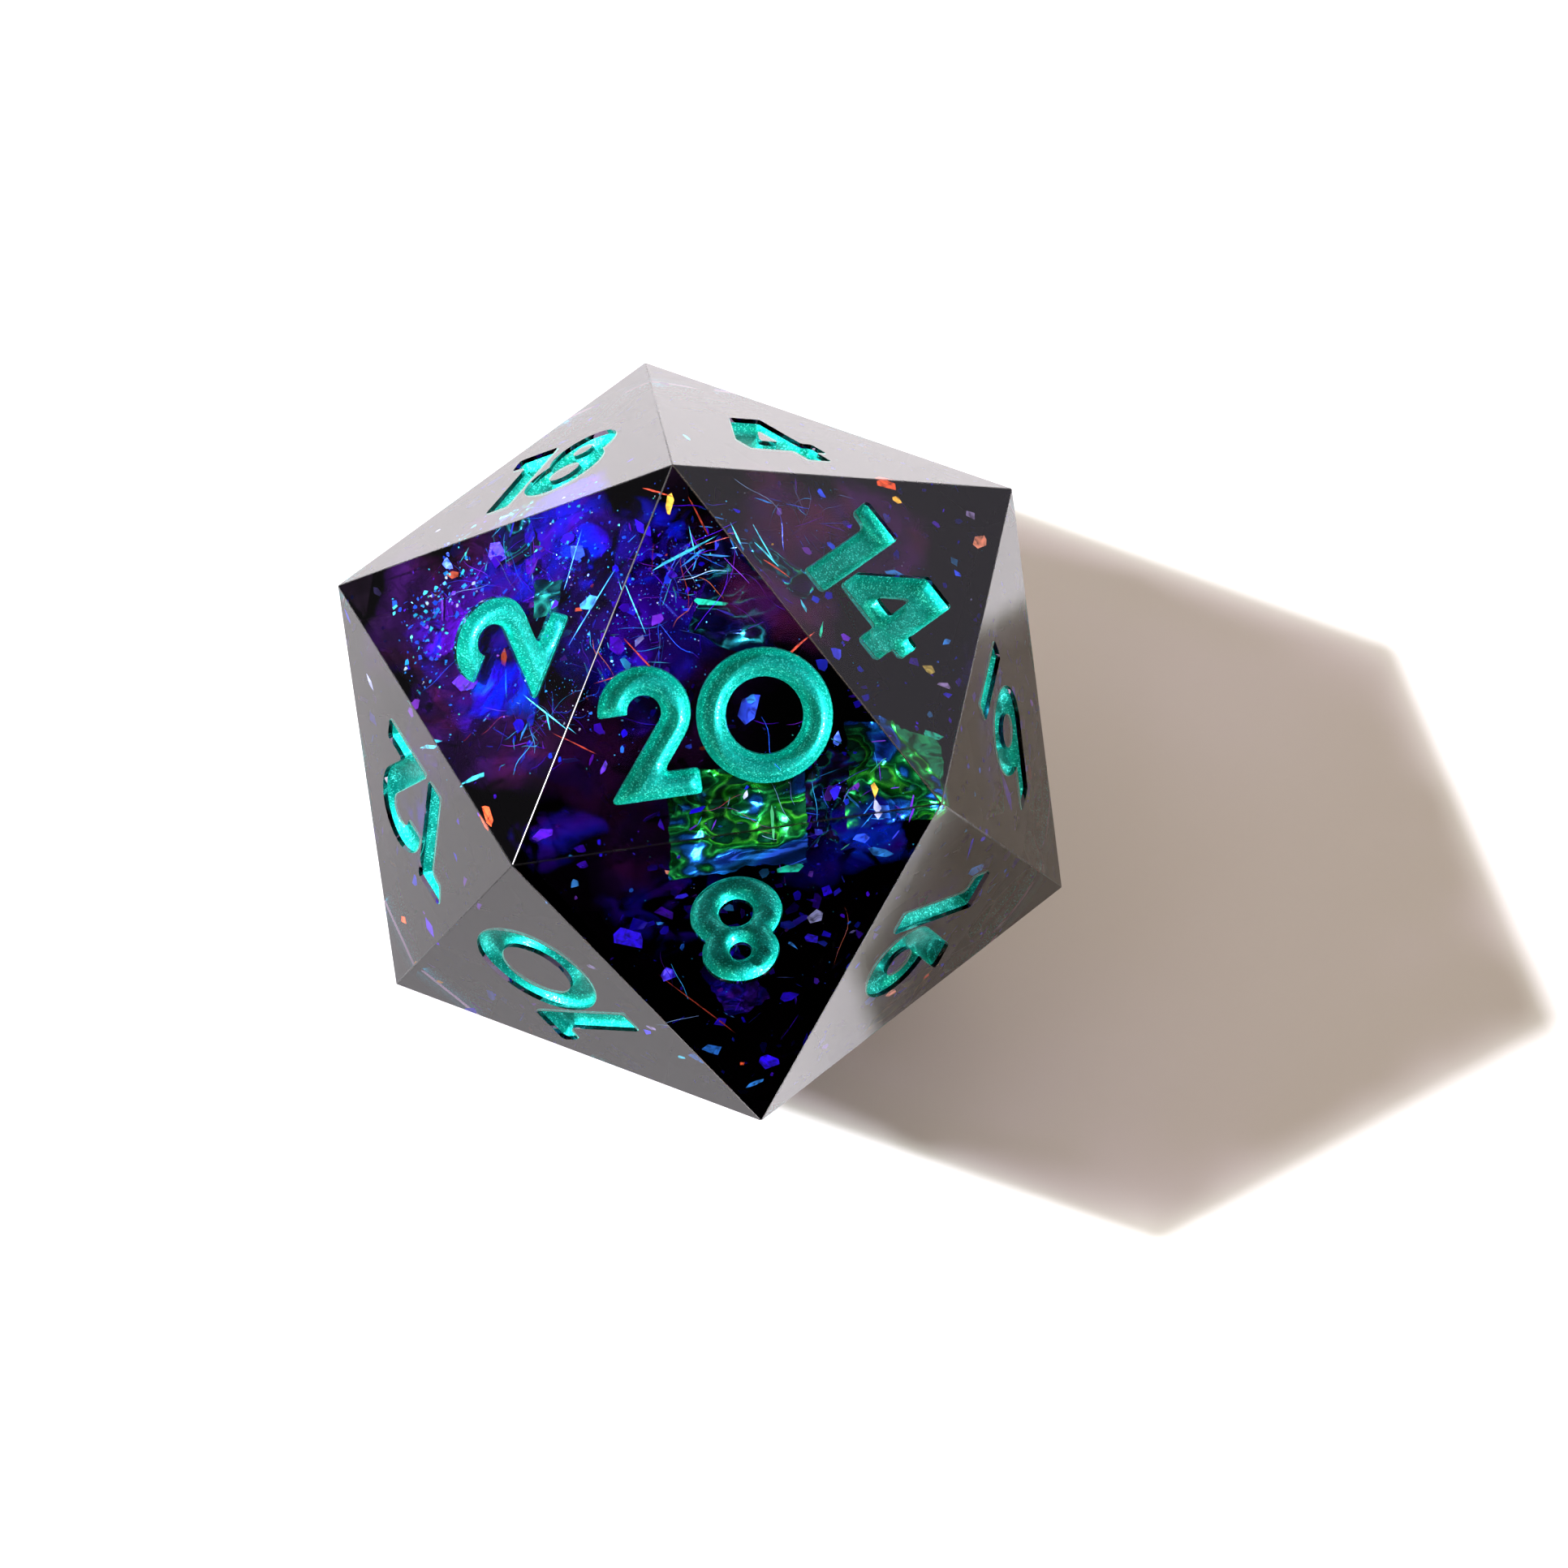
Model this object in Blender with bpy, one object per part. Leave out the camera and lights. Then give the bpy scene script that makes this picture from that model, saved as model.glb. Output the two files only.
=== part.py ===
"""A twenty-sided gaming die of cast resin, with engraved and painted numerals and film inside.

The die stands on the face numbered 1. The origin is on the table under the die's centre, +Z points
up through the face numbered 20, and +Y runs from there towards the corner above its numeral.
Lengths are in metres. Opposite faces add up to 21.
"""

import math

import bmesh
import bpy
from mathutils import Matrix, Vector

MM = 0.001

# The body: a regular icosahedron.
FACE_TO_FACE = 21.0 * MM
EDGE_FLAT = 0.07 * MM
GOLDEN = (1 + math.sqrt(5)) / 2
INRADIUS = FACE_TO_FACE / 2
EDGE = INRADIUS * 2 * math.sqrt(3) / GOLDEN**2
FACE_RADIUS = EDGE / math.sqrt(3)
BELT_RADIUS = GOLDEN * FACE_RADIUS
BELT_HEIGHT = INRADIUS / GOLDEN**3
CENTRE = Vector((0, 0, INRADIUS))

# The corners that have names of their own: those round the top face, and those of the belt below
# it, each with its compass angle. The six opposite corners have the same names with a minus.
TOP_CORNERS = {"B": 90, "E": 210, "F": 330}
BELT_CORNERS = {"D": 30, "C": 150, "H": 270}

# The corners of each numeral's face. The numeral's top points to the first one.
FACE_CORNERS = {
    20: ("B", "E", "F"),
    2: ("C", "B", "E"),
    14: ("D", "B", "F"),
    8: ("H", "E", "F"),
    18: ("-H", "B", "C"),
    4: ("-H", "B", "D"),
    12: ("-D", "C", "E"),
    10: ("-D", "E", "H"),
    16: ("-C", "F", "H"),
    6: ("-C", "D", "F"),
}
OPPOSITE_SUM = 21
UNDERLINED = (6, 9)

# Numerals that were drawn a little off the middle of their face, as (right, up).
NUMERAL_SHIFT = {
    20: (0.2 * MM, -0.4 * MM),
    2: (-0.2 * MM, 0.0),
    4: (-0.5 * MM, -0.2 * MM),
    10: (0.3 * MM, -0.1 * MM),
    6: (0.0, 0.2 * MM),
    9: (0.0, 0.2 * MM),
}

# The shapes of the digits. Strokes are straight bars and arcs of circles.
HEIGHT = 4.3 * MM
STROKE = 0.92 * MM
BAR = 0.82 * MM
DIGIT_SPACE = 0.15 * MM
ZERO_RADIUS = 2.18 * MM
BOWL_RADIUS = 1.48 * MM
SMALL_BOWL_RADIUS = 1.24 * MM
SMALL_HOLE_RADIUS = 0.36 * MM
ONE_WIDTH = 1.6 * MM
ONE_TIP_CUT = 0.12 * MM
ONE_ARMPIT = 0.25 * MM
TWO_LEAVE_ANGLE = -38
THREE_END_ANGLE = 155
THREE_MIDDLE_ANGLE = 95
FOUR_WIDTH = 3.08 * MM
FOUR_NUB = 0.42 * MM
FOUR_BAR_HEIGHT = 0.9 * MM
FOUR_TOP_SHELF = 0.32 * MM
FOUR_HOLE = (0.76 * MM, 1.3 * MM)
FIVE_TOP_RIGHT = 2.7 * MM
FIVE_TOP_LEFT = 0.36 * MM
FIVE_FOOT = (0.14 * MM, 2.05 * MM)
FIVE_NECK = 1.12 * MM
SIX_STEM_ANGLE = 148
SEVEN_WIDTH = 2.85 * MM
SEVEN_FOOT = (0.6 * MM, 1.6 * MM)
SEVEN_ARMPIT = 1.78 * MM
SEVEN_SHOULDER = 0.66 * MM
UNDERLINE_LENGTH = 2.85 * MM
UNDERLINE_GAP = 0.55 * MM
ARC_STEP = 20.0

# The engraving: steep walls, then a sloping foot down to the floor.
GROOVE_DEPTH = 0.70 * MM
WALL_DEPTH = 0.44 * MM
WALL_DRAFT = 0.05 * MM
FLOOR_INSET = 0.24 * MM
CUTTER_RISE = 0.3 * MM
MITRE_LIMIT = 2.0

# The paint lines the engraving, clear of the resin by a hair, and its face is dished.
PAINT_GAP = 0.03 * MM
PAINT_BELOW_FACE = 0.04 * MM
DISH_INSET = 0.24 * MM
DISH_DEPTH = 0.38 * MM

# The film scraps. Each one gives the face that it lies under, its middle on that face, its depth,
# its turn in degrees, its length and width, its number of folded strips, and the place on the
# numeral's stroke where its pocket opens into the engraving, in millimetres. The number of strips
# is odd, so that the middle of the film is at its frame's origin, where the vent ends.
FILM_THICKNESS = 0.12 * MM
FILM_GAP = 0.04 * MM
FILM_FOLD = 0.35 * MM
FILM_TWIST = 0.22
VENT_WIDTH = 0.28 * MM
VENT_ABOVE_FLOOR = 0.1 * MM
FILMS = {
    "film_green_front": (20, (0.6, -3.5), 1.9, 8, (4.0, 2.4), 5, (1.74, -2.09)),
    "film_blue_top": (20, (-0.6, 3.4), 1.8, 60, (3.6, 2.2), 3, (-2.1, 1.32)),
    "film_green_right": (14, (3.2, -1.9), 1.9, 25, (3.0, 2.2), 3, (1.53, -0.81)),
    "film_purple_right": (14, (-2.2, -1.6), 2.3, 75, (3.8, 2.4), 3, (-1.24, -0.6)),
    "film_violet_left": (2, (0.4, -0.4), 2.1, 20, (5.0, 3.2), 5, (0.33, -0.3)),
    "film_blue_front": (8, (0.3, 3.3), 1.9, -70, (2.8, 2.0), 3, (0.0, 1.71)),
    "film_violet_side": (12, (0.2, -1.2), 2.4, 40, (3.6, 2.2), 3, (1.5, -1.74)),
    "film_teal_side": (6, (0.0, 0.6), 2.2, -35, (3.2, 2.2), 3, (0.0, -0.73)),
    "film_gold_back": (3, (0.2, -0.8), 2.2, 15, (3.4, 2.2), 3, (0.0, -1.67)),
    "film_green_back": (7, (-0.1, 0.4), 2.2, -50, (3.6, 2.4), 3, (0.54, 0.4)),
    "film_pink_back": (13, (0.6, 0.4), 2.3, 30, (3.2, 2.2), 3, (0.88, -1.67)),
    "film_violet_base": (1, (0.2, 0.4), 2.4, 70, (4.4, 2.8), 5, (0.34, 0.4)),
}

RESIN_COLOUR = (0.10, 0.07, 0.13)
PAINT_COLOUR = (0.0, 0.50, 0.40)
FILM_COLOURS = {
    "green": (0.08, 0.55, 0.12),
    "blue": (0.05, 0.22, 0.85),
    "purple": (0.30, 0.10, 0.38),
    "violet": (0.25, 0.06, 0.80),
    "teal": (0.05, 0.55, 0.60),
    "gold": (0.80, 0.60, 0.15),
    "pink": (0.75, 0.25, 0.50),
}


def ring_point(radius, degrees, height):
    angle = math.radians(degrees)
    return Vector((radius * math.cos(angle), radius * math.sin(angle), height))


def corner_positions():
    """The twelve corners, measured from the die's centre."""
    corners = {}
    for name, degrees in TOP_CORNERS.items():
        corners[name] = ring_point(FACE_RADIUS, degrees, INRADIUS)
    for name, degrees in BELT_CORNERS.items():
        corners[name] = ring_point(BELT_RADIUS, degrees, BELT_HEIGHT)
    for name, point in list(corners.items()):
        corners[opposite(name)] = -point
    return corners


def opposite(name):
    return name[1:] if name.startswith("-") else "-" + name


def numeral_faces():
    """The three corners of all twenty faces, keyed by their numeral."""
    faces = dict(FACE_CORNERS)
    for number, names in FACE_CORNERS.items():
        faces[OPPOSITE_SUM - number] = tuple(opposite(name) for name in names)
    return faces


CORNERS = corner_positions()
FACES = numeral_faces()


def face_matrix(number):
    """A frame on a face: X to the numeral's right, Y to its top, Z out of the die."""
    points = [CORNERS[name] for name in FACES[number]]
    middle = sum(points, Vector()) / len(points)
    normal = middle.normalized()
    up = (points[0] - middle).normalized()
    right = up.cross(normal)
    turn = Matrix((right, up, normal)).transposed().to_4x4()
    return Matrix.Translation(CENTRE + middle) @ turn


def arc(centre, radius, start, end):
    """Points along an arc, with its angles in degrees, ends included."""
    steps = max(1, round(abs(end - start) / ARC_STEP))
    angles = [math.radians(start + (end - start) * i / steps) for i in range(steps + 1)]
    return [(centre[0] + radius * math.cos(a), centre[1] + radius * math.sin(a)) for a in angles]


def circle(centre, radius):
    return arc(centre, radius, 0, 360)[:-1]


# Each digit gives its outlines, the outer one first, and its width.


def zero():
    middle = (ZERO_RADIUS, ZERO_RADIUS)
    return [circle(middle, ZERO_RADIUS), circle(middle, ZERO_RADIUS - STROKE)], 2 * ZERO_RADIUS


def one():
    stem_left = ONE_WIDTH - STROKE
    flag_bottom = HEIGHT - BAR
    outline = [
        (ONE_TIP_CUT / 2, flag_bottom),
        (stem_left - ONE_TIP_CUT, flag_bottom - ONE_TIP_CUT / 2),
        (stem_left, flag_bottom - ONE_ARMPIT),
        (stem_left, 0),
        (ONE_WIDTH, 0),
        (ONE_WIDTH, HEIGHT),
        (ONE_TIP_CUT, HEIGHT),
        (0, HEIGHT - ONE_TIP_CUT),
    ]
    return [outline], ONE_WIDTH


def two():
    """A hook over the top, then a straight diagonal that leaves it along its tangent."""
    middle = (BOWL_RADIUS, HEIGHT - BOWL_RADIUS)
    outer = arc(middle, BOWL_RADIUS, 180, TWO_LEAVE_ANGLE)
    inner = arc(middle, BOWL_RADIUS - STROKE, TWO_LEAVE_ANGLE, 180)
    run = math.tan(math.radians(-TWO_LEAVE_ANGLE))
    join = (outer[-1][0] - (outer[-1][1] - BAR) * run, BAR)
    tip = (inner[0][0] - inner[0][1] * run, 0)
    width = 2 * BOWL_RADIUS
    outline = outer + [join, (width, BAR), (width, 0), tip] + inner
    return [outline], width


def three():
    """Two open bowls that share a short bar in the middle."""
    low, high, meet_low, meet_high = stacked_bowls()
    outline = arc(high, SMALL_BOWL_RADIUS, THREE_END_ANGLE, meet_high)
    outline += arc(low, BOWL_RADIUS, meet_low, -THREE_END_ANGLE)[1:]
    outline += arc(low, BOWL_RADIUS - STROKE, -THREE_END_ANGLE, THREE_MIDDLE_ANGLE)
    outline += arc(high, SMALL_HOLE_RADIUS, -THREE_MIDDLE_ANGLE, THREE_END_ANGLE)
    return [outline], 2 * BOWL_RADIUS


def four():
    stem_right = FOUR_WIDTH - FOUR_NUB
    stem_left = stem_right - STROKE
    bar_low = FOUR_BAR_HEIGHT
    bar_high = bar_low + STROKE
    outline = [
        (0.0, bar_high),
        (0.0, bar_low),
        (stem_left, bar_low),
        (stem_left, 0),
        (stem_right, 0),
        (stem_right, bar_low),
        (FOUR_WIDTH, bar_low),
        (FOUR_WIDTH, bar_high),
        (stem_right, bar_high),
        (stem_right, HEIGHT),
        (stem_left - FOUR_TOP_SHELF, HEIGHT),
    ]
    hole = [
        (stem_left, bar_high),
        (stem_left, bar_high + FOUR_HOLE[1]),
        (stem_left - FOUR_HOLE[0], bar_high),
    ]
    return [outline, hole], FOUR_WIDTH


def five():
    """An open bowl whose top runs into a neck, under a straight bar."""
    middle = (BOWL_RADIUS, BOWL_RADIUS)
    bar_bottom = HEIGHT - BAR
    outline = [(FIVE_TOP_LEFT, HEIGHT), FIVE_FOOT]
    outline += arc(middle, BOWL_RADIUS - STROKE, 125, -150)
    outline += arc(middle, BOWL_RADIUS, -150, 100)
    outline += [(FIVE_NECK, bar_bottom), (FIVE_TOP_RIGHT, bar_bottom), (FIVE_TOP_RIGHT, HEIGHT)]
    return [outline], 2 * BOWL_RADIUS


def six():
    """A full bowl with a straight stem that leaves it along its tangent."""
    middle = (BOWL_RADIUS, BOWL_RADIUS)
    hole_radius = BOWL_RADIUS - STROKE
    armpit = SIX_STEM_ANGLE - math.degrees(math.acos(hole_radius / BOWL_RADIUS))
    outer = arc(middle, BOWL_RADIUS, armpit, SIX_STEM_ANGLE - 360)
    slope = math.radians(SIX_STEM_ANGLE - 90)
    left = outer[-1][0] + (HEIGHT - outer[-1][1]) / math.tan(slope)
    right = left + STROKE / math.sin(slope)
    outline = [(left, HEIGHT), (right, HEIGHT)] + outer
    return [outline, circle(middle, hole_radius)], 2 * BOWL_RADIUS


def seven():
    bar_bottom = HEIGHT - BAR
    outline = [
        (0, bar_bottom),
        (SEVEN_ARMPIT, bar_bottom),
        (SEVEN_FOOT[0], 0),
        (SEVEN_FOOT[1], 0),
        (SEVEN_WIDTH, HEIGHT - SEVEN_SHOULDER),
        (SEVEN_WIDTH, HEIGHT),
        (0, HEIGHT),
    ]
    return [outline], SEVEN_WIDTH


def eight():
    low, high, meet_low, meet_high = stacked_bowls()
    outline = arc(high, SMALL_BOWL_RADIUS, 180 - meet_high, meet_high)
    outline += arc(low, BOWL_RADIUS, meet_low, -180 - meet_low)[1:-1]
    holes = [circle(low, BOWL_RADIUS - STROKE), circle(high, SMALL_HOLE_RADIUS)]
    return [outline] + holes, 2 * BOWL_RADIUS


def nine():
    """A six turned half round."""
    loops, width = six()
    return [[(width - x, HEIGHT - y) for x, y in loop] for loop in loops], width


def stacked_bowls():
    """The lower and upper bowls' middles, and the angle on each at which their circles cross."""
    low = (BOWL_RADIUS, BOWL_RADIUS)
    high = (BOWL_RADIUS, HEIGHT - SMALL_BOWL_RADIUS)
    apart = high[1] - low[1]
    rise = (apart**2 + BOWL_RADIUS**2 - SMALL_BOWL_RADIUS**2) / (2 * apart)
    on_low = math.degrees(math.asin(rise / BOWL_RADIUS))
    on_high = math.degrees(math.asin((rise - apart) / SMALL_BOWL_RADIUS))
    return low, high, on_low, on_high


DIGITS = (zero, one, two, three, four, five, six, seven, eight, nine)


def shifted(loops, right, up):
    return [[(x + right, y + up) for x, y in loop] for loop in loops]


def numeral_outlines(number):
    """The outlines of a numeral's pieces in its face's frame, as (name, loops)."""
    drawn = [DIGITS[int(digit)]() for digit in str(number)]
    names = ("tens", "units") if len(drawn) > 1 else ("numeral",)
    total = sum(width for _, width in drawn) + DIGIT_SPACE * (len(drawn) - 1)
    right, up = NUMERAL_SHIFT.get(number, (0, 0))
    left = right - total / 2
    low = up - HEIGHT / 2
    if number in UNDERLINED:
        low += (UNDERLINE_GAP + BAR) / 2
    pieces = []
    for name, (loops, width) in zip(names, drawn):
        pieces.append((name, shifted(loops, left, low)))
        left += width + DIGIT_SPACE
    if number in UNDERLINED:
        half = UNDERLINE_LENGTH / 2
        bar = [(-half, -BAR), (half, -BAR), (half, 0), (-half, 0)]
        pieces.append(("underline", shifted([bar], right, low - UNDERLINE_GAP)))
    return pieces


def signed_area(loop):
    following = loop[1:] + loop[:1]
    return sum(a[0] * b[1] - b[0] * a[1] for a, b in zip(loop, following)) / 2


def wound(loops):
    """The outer loop anticlockwise and the holes clockwise, so that the stroke is on their left."""
    result = []
    for index, loop in enumerate(loops):
        is_outer = index == 0
        is_anticlockwise = signed_area(loop) > 0
        result.append(loop if is_outer == is_anticlockwise else loop[::-1])
    return result


def inset(loop, distance):
    """The loop moved to its left by a distance, with mitred corners no longer than a limit."""
    moved = []
    for index, point in enumerate(loop):
        here = Vector(point)
        before = (here - Vector(loop[index - 1])).normalized()
        after = (Vector(loop[(index + 1) % len(loop)]) - here).normalized()
        left_before = Vector((-before.y, before.x))
        left_after = Vector((-after.y, after.x))
        mitre = (left_before + left_after).normalized()
        stretch = min(MITRE_LIMIT, 1 / mitre.dot(left_after))
        moved.append(here + mitre * (distance * stretch))
    return moved


def add_layers(bm, matrix, loops, levels):
    """Adds one closed body: the loops at each (inset, height) level, joined and capped."""
    layers = []
    for distance, height in levels:
        rings = [inset(loop, distance) for loop in wound(loops)]
        layers.append([[bm.verts.new(matrix @ Vector((*p, height))) for p in ring] for ring in rings])
    for upper, lower in zip(layers, layers[1:]):
        for high, low in zip(upper, lower):
            for i in range(len(high)):
                bm.faces.new((high[i - 1], low[i - 1], low[i], high[i]))
    for layer in (layers[0], layers[-1]):
        edges = [bm.edges.get((ring[i - 1], ring[i])) for ring in layer for i in range(len(ring))]
        bmesh.ops.triangle_fill(bm, edges=edges, use_beauty=True)


def add_film(bm, matrix, length, width, strips):
    """Adds one closed body: a rectangle of film, folded to and fro along its length."""
    columns = [length * (i / strips - 0.5) for i in range(strips + 1)]
    rows = [-width / 2, 0, width / 2]
    sides = []
    for side in (0.5, -0.5):
        grid = []
        for i, x in enumerate(columns):
            rise = FILM_FOLD * (1 if i % 2 else -1)
            heights = [rise * (1 + y / width) + FILM_TWIST * y + side * FILM_THICKNESS for y in rows]
            grid.append([bm.verts.new(matrix @ Vector((x, *p))) for p in zip(rows, heights)])
        sides.append(grid)
    top, bottom = sides
    last = len(rows) - 1
    for i in range(strips):
        for j in range(last):
            bm.faces.new((top[i][j], top[i + 1][j], top[i + 1][j + 1], top[i][j + 1]))
            bm.faces.new((bottom[i][j], bottom[i][j + 1], bottom[i + 1][j + 1], bottom[i + 1][j]))
        bm.faces.new((top[i][0], bottom[i][0], bottom[i + 1][0], top[i + 1][0]))
        bm.faces.new((top[i][last], top[i + 1][last], bottom[i + 1][last], bottom[i][last]))
    for j in range(last):
        bm.faces.new((top[0][j], top[0][j + 1], bottom[0][j + 1], bottom[0][j]))
        bm.faces.new((top[-1][j], bottom[-1][j], bottom[-1][j + 1], top[-1][j + 1]))
    bmesh.ops.triangulate(bm, faces=bm.faces, quad_method="FIXED")


def grow(bm, distance):
    """Moves every face outwards by a distance."""
    moves = [(v, v.normal * (distance * v.calc_shell_factor())) for v in bm.verts]
    for vertex, move in moves:
        vertex.co += move


def add_vent(bm, start, end):
    """Adds one closed body: a thin square bar from one point to another."""
    along = end - start
    turn = along.to_track_quat("Z", "Y").to_matrix().to_4x4()
    stretch = Matrix.Diagonal((VENT_WIDTH, VENT_WIDTH, along.length, 1))
    place = Matrix.Translation((start + end) / 2) @ turn @ stretch
    bmesh.ops.create_cube(bm, size=1, matrix=place)


def film_matrix(number, middle, depth, degrees):
    """A film scrap's frame under its face."""
    place = Matrix.Translation((middle[0] * MM, middle[1] * MM, -depth * MM))
    return face_matrix(number) @ place @ Matrix.Rotation(math.radians(degrees), 4, "Z")


def make_material(name, colour, roughness, metallic=0.0, transmission=0.0):
    material = bpy.data.materials.new(name)
    material.use_nodes = True
    shader = material.node_tree.nodes["Principled BSDF"]
    shader.inputs["Base Color"].default_value = (*colour, 1)
    shader.inputs["Roughness"].default_value = roughness
    shader.inputs["Metallic"].default_value = metallic
    shader.inputs["Transmission Weight"].default_value = transmission
    material.diffuse_color = (*colour, 1)
    return material


def make_object(name, bm, material, parent, matrix=Matrix.Identity(4)):
    """An object from a bmesh, standing at a matrix under a parent."""
    bmesh.ops.recalc_face_normals(bm, faces=bm.faces)
    mesh = bpy.data.meshes.new(name)
    bm.to_mesh(mesh)
    bm.free()
    if material:
        mesh.materials.append(material)
    piece = bpy.data.objects.new(name, mesh)
    bpy.context.scene.collection.objects.link(piece)
    piece.parent = parent
    piece.matrix_local = matrix
    return piece


def make_cutter(name, bm, parent):
    cutter = make_object(name, bm, None, parent)
    cutter.hide_render = True
    cutter.display_type = "WIRE"
    return cutter


def add_boolean(piece, other, operation):
    modifier = piece.modifiers.new(other.name, "BOOLEAN")
    modifier.operation = operation
    modifier.object = other


def make_body(material, parent, cutters):
    """The resin icosahedron, with its edges just taken off, and everything cut out of it."""
    bm = bmesh.new()
    for point in CORNERS.values():
        bm.verts.new(CENTRE + point)
    bmesh.ops.convex_hull(bm, input=bm.verts)
    body = make_object("resin_body", bm, material, parent)
    edges = body.modifiers.new("edge_flats", "BEVEL")
    edges.width = EDGE_FLAT
    edges.segments = 1
    for cutter in cutters:
        add_boolean(body, cutter, "DIFFERENCE")


def make_numerals(material, parent):
    """The paint in every numeral. Returns the cutter for the engravings that it lies in."""
    flare = WALL_DRAFT * CUTTER_RISE / WALL_DEPTH
    groove_levels = (
        (-flare, CUTTER_RISE),
        (WALL_DRAFT, -WALL_DEPTH),
        (FLOOR_INSET, -GROOVE_DEPTH),
    )
    paint_levels = (
        (DISH_INSET, -DISH_DEPTH),
        (PAINT_GAP, -PAINT_BELOW_FACE),
        (PAINT_GAP + WALL_DRAFT, -WALL_DEPTH),
        (PAINT_GAP + FLOOR_INSET, PAINT_GAP - GROOVE_DEPTH),
    )
    engraving = bmesh.new()
    for number in sorted(FACES):
        frame = face_matrix(number)
        for piece, loops in numeral_outlines(number):
            add_layers(engraving, frame, loops, groove_levels)
            paint = bmesh.new()
            add_layers(paint, Matrix.Identity(4), loops, paint_levels)
            name = f"paint_{number}" if piece == "numeral" else f"paint_{number}_{piece}"
            make_object(name, paint, material, parent, frame)
    return make_cutter("engraving_cutter", engraving, parent)


def make_films(materials, parent):
    """The film scraps. Returns the cutter for their pockets and for the pockets' vents."""
    pockets = bmesh.new()
    vents = bmesh.new()
    mouth_depth = GROOVE_DEPTH - VENT_ABOVE_FLOOR
    for name, (number, middle, depth, degrees, size, strips, mouth) in FILMS.items():
        frame = film_matrix(number, middle, depth, degrees)
        length, width = size[0] * MM, size[1] * MM
        colour = name.split("_")[1]
        film = bmesh.new()
        add_film(film, Matrix.Identity(4), length, width, strips)
        make_object(name, film, materials[colour], parent, frame)
        add_film(pockets, frame, length, width, strips)
        start = face_matrix(number) @ Vector((mouth[0] * MM, mouth[1] * MM, -mouth_depth))
        add_vent(vents, start, frame.translation)
    bmesh.ops.recalc_face_normals(pockets, faces=pockets.faces)
    grow(pockets, FILM_GAP)
    vent_cutter = make_cutter("vent_cutter", vents, parent)
    pocket_cutter = make_cutter("pocket_cutter", pockets, parent)
    add_boolean(pocket_cutter, vent_cutter, "UNION")
    return pocket_cutter


def clear_scene():
    for old in list(bpy.data.objects):
        bpy.data.objects.remove(old, do_unlink=True)


def build_die():
    clear_scene()
    die = bpy.data.objects.new("die", None)
    bpy.context.scene.collection.objects.link(die)
    resin = make_material("smoky_resin", RESIN_COLOUR, 0.04, transmission=0.9)
    paint = make_material("teal_mica_paint", PAINT_COLOUR, 0.32, metallic=0.6)
    films = {
        name: make_material(name + "_film", colour, 0.15, metallic=0.8)
        for name, colour in FILM_COLOURS.items()
    }
    engraving = make_numerals(paint, die)
    pockets = make_films(films, die)
    make_body(resin, die, (engraving, pockets))


build_die()
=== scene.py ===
"""Looks of the twenty-sided die: smoky violet resin, teal mica numerals and iridescent inclusions.

Lengths are in metres unless a table says millimetres. A face's frame has its origin in the middle
of the face, X to the numeral's right, Y to the numeral's top and Z out of the die.
"""
import math
import random

import bmesh
import bpy
import numpy as np
from mathutils import Matrix, Vector
from mathutils.geometry import delaunay_2d_cdt


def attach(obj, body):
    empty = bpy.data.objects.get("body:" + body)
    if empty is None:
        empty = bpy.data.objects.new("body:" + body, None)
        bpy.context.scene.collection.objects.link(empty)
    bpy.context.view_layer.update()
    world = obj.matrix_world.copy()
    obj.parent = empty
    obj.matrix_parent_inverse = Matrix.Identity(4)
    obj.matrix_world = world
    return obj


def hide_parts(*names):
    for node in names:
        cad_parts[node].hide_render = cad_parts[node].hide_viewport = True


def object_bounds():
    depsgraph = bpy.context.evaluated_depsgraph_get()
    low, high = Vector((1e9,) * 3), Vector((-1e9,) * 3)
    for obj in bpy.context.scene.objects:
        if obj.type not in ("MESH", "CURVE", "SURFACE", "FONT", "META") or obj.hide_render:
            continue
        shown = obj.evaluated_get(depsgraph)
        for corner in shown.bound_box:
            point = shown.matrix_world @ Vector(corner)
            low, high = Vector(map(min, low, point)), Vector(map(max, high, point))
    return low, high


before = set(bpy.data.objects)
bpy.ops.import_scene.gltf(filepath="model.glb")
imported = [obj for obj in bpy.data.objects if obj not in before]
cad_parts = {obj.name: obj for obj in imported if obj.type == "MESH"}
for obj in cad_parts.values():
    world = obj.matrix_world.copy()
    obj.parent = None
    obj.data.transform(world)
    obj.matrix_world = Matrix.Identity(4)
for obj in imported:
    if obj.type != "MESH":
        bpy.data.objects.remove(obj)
CAD_BOX = [list(corner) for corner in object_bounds()]

MM = 0.001

# The icosahedron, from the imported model's height.
INRADIUS = (CAD_BOX[1][2] - CAD_BOX[0][2]) / 2
GOLDEN = (1 + math.sqrt(5)) / 2
EDGE = INRADIUS * 2 * math.sqrt(3) / GOLDEN**2
FACE_RADIUS = EDGE / math.sqrt(3)
BELT_RADIUS = GOLDEN * FACE_RADIUS
BELT_HEIGHT = INRADIUS / GOLDEN**3
CENTRE = Vector((0, 0, INRADIUS))
EDGE_ROUNDING = 0.035 * MM
EDGE_SEGMENTS = 3
WELD_DISTANCE = 1e-7

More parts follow.
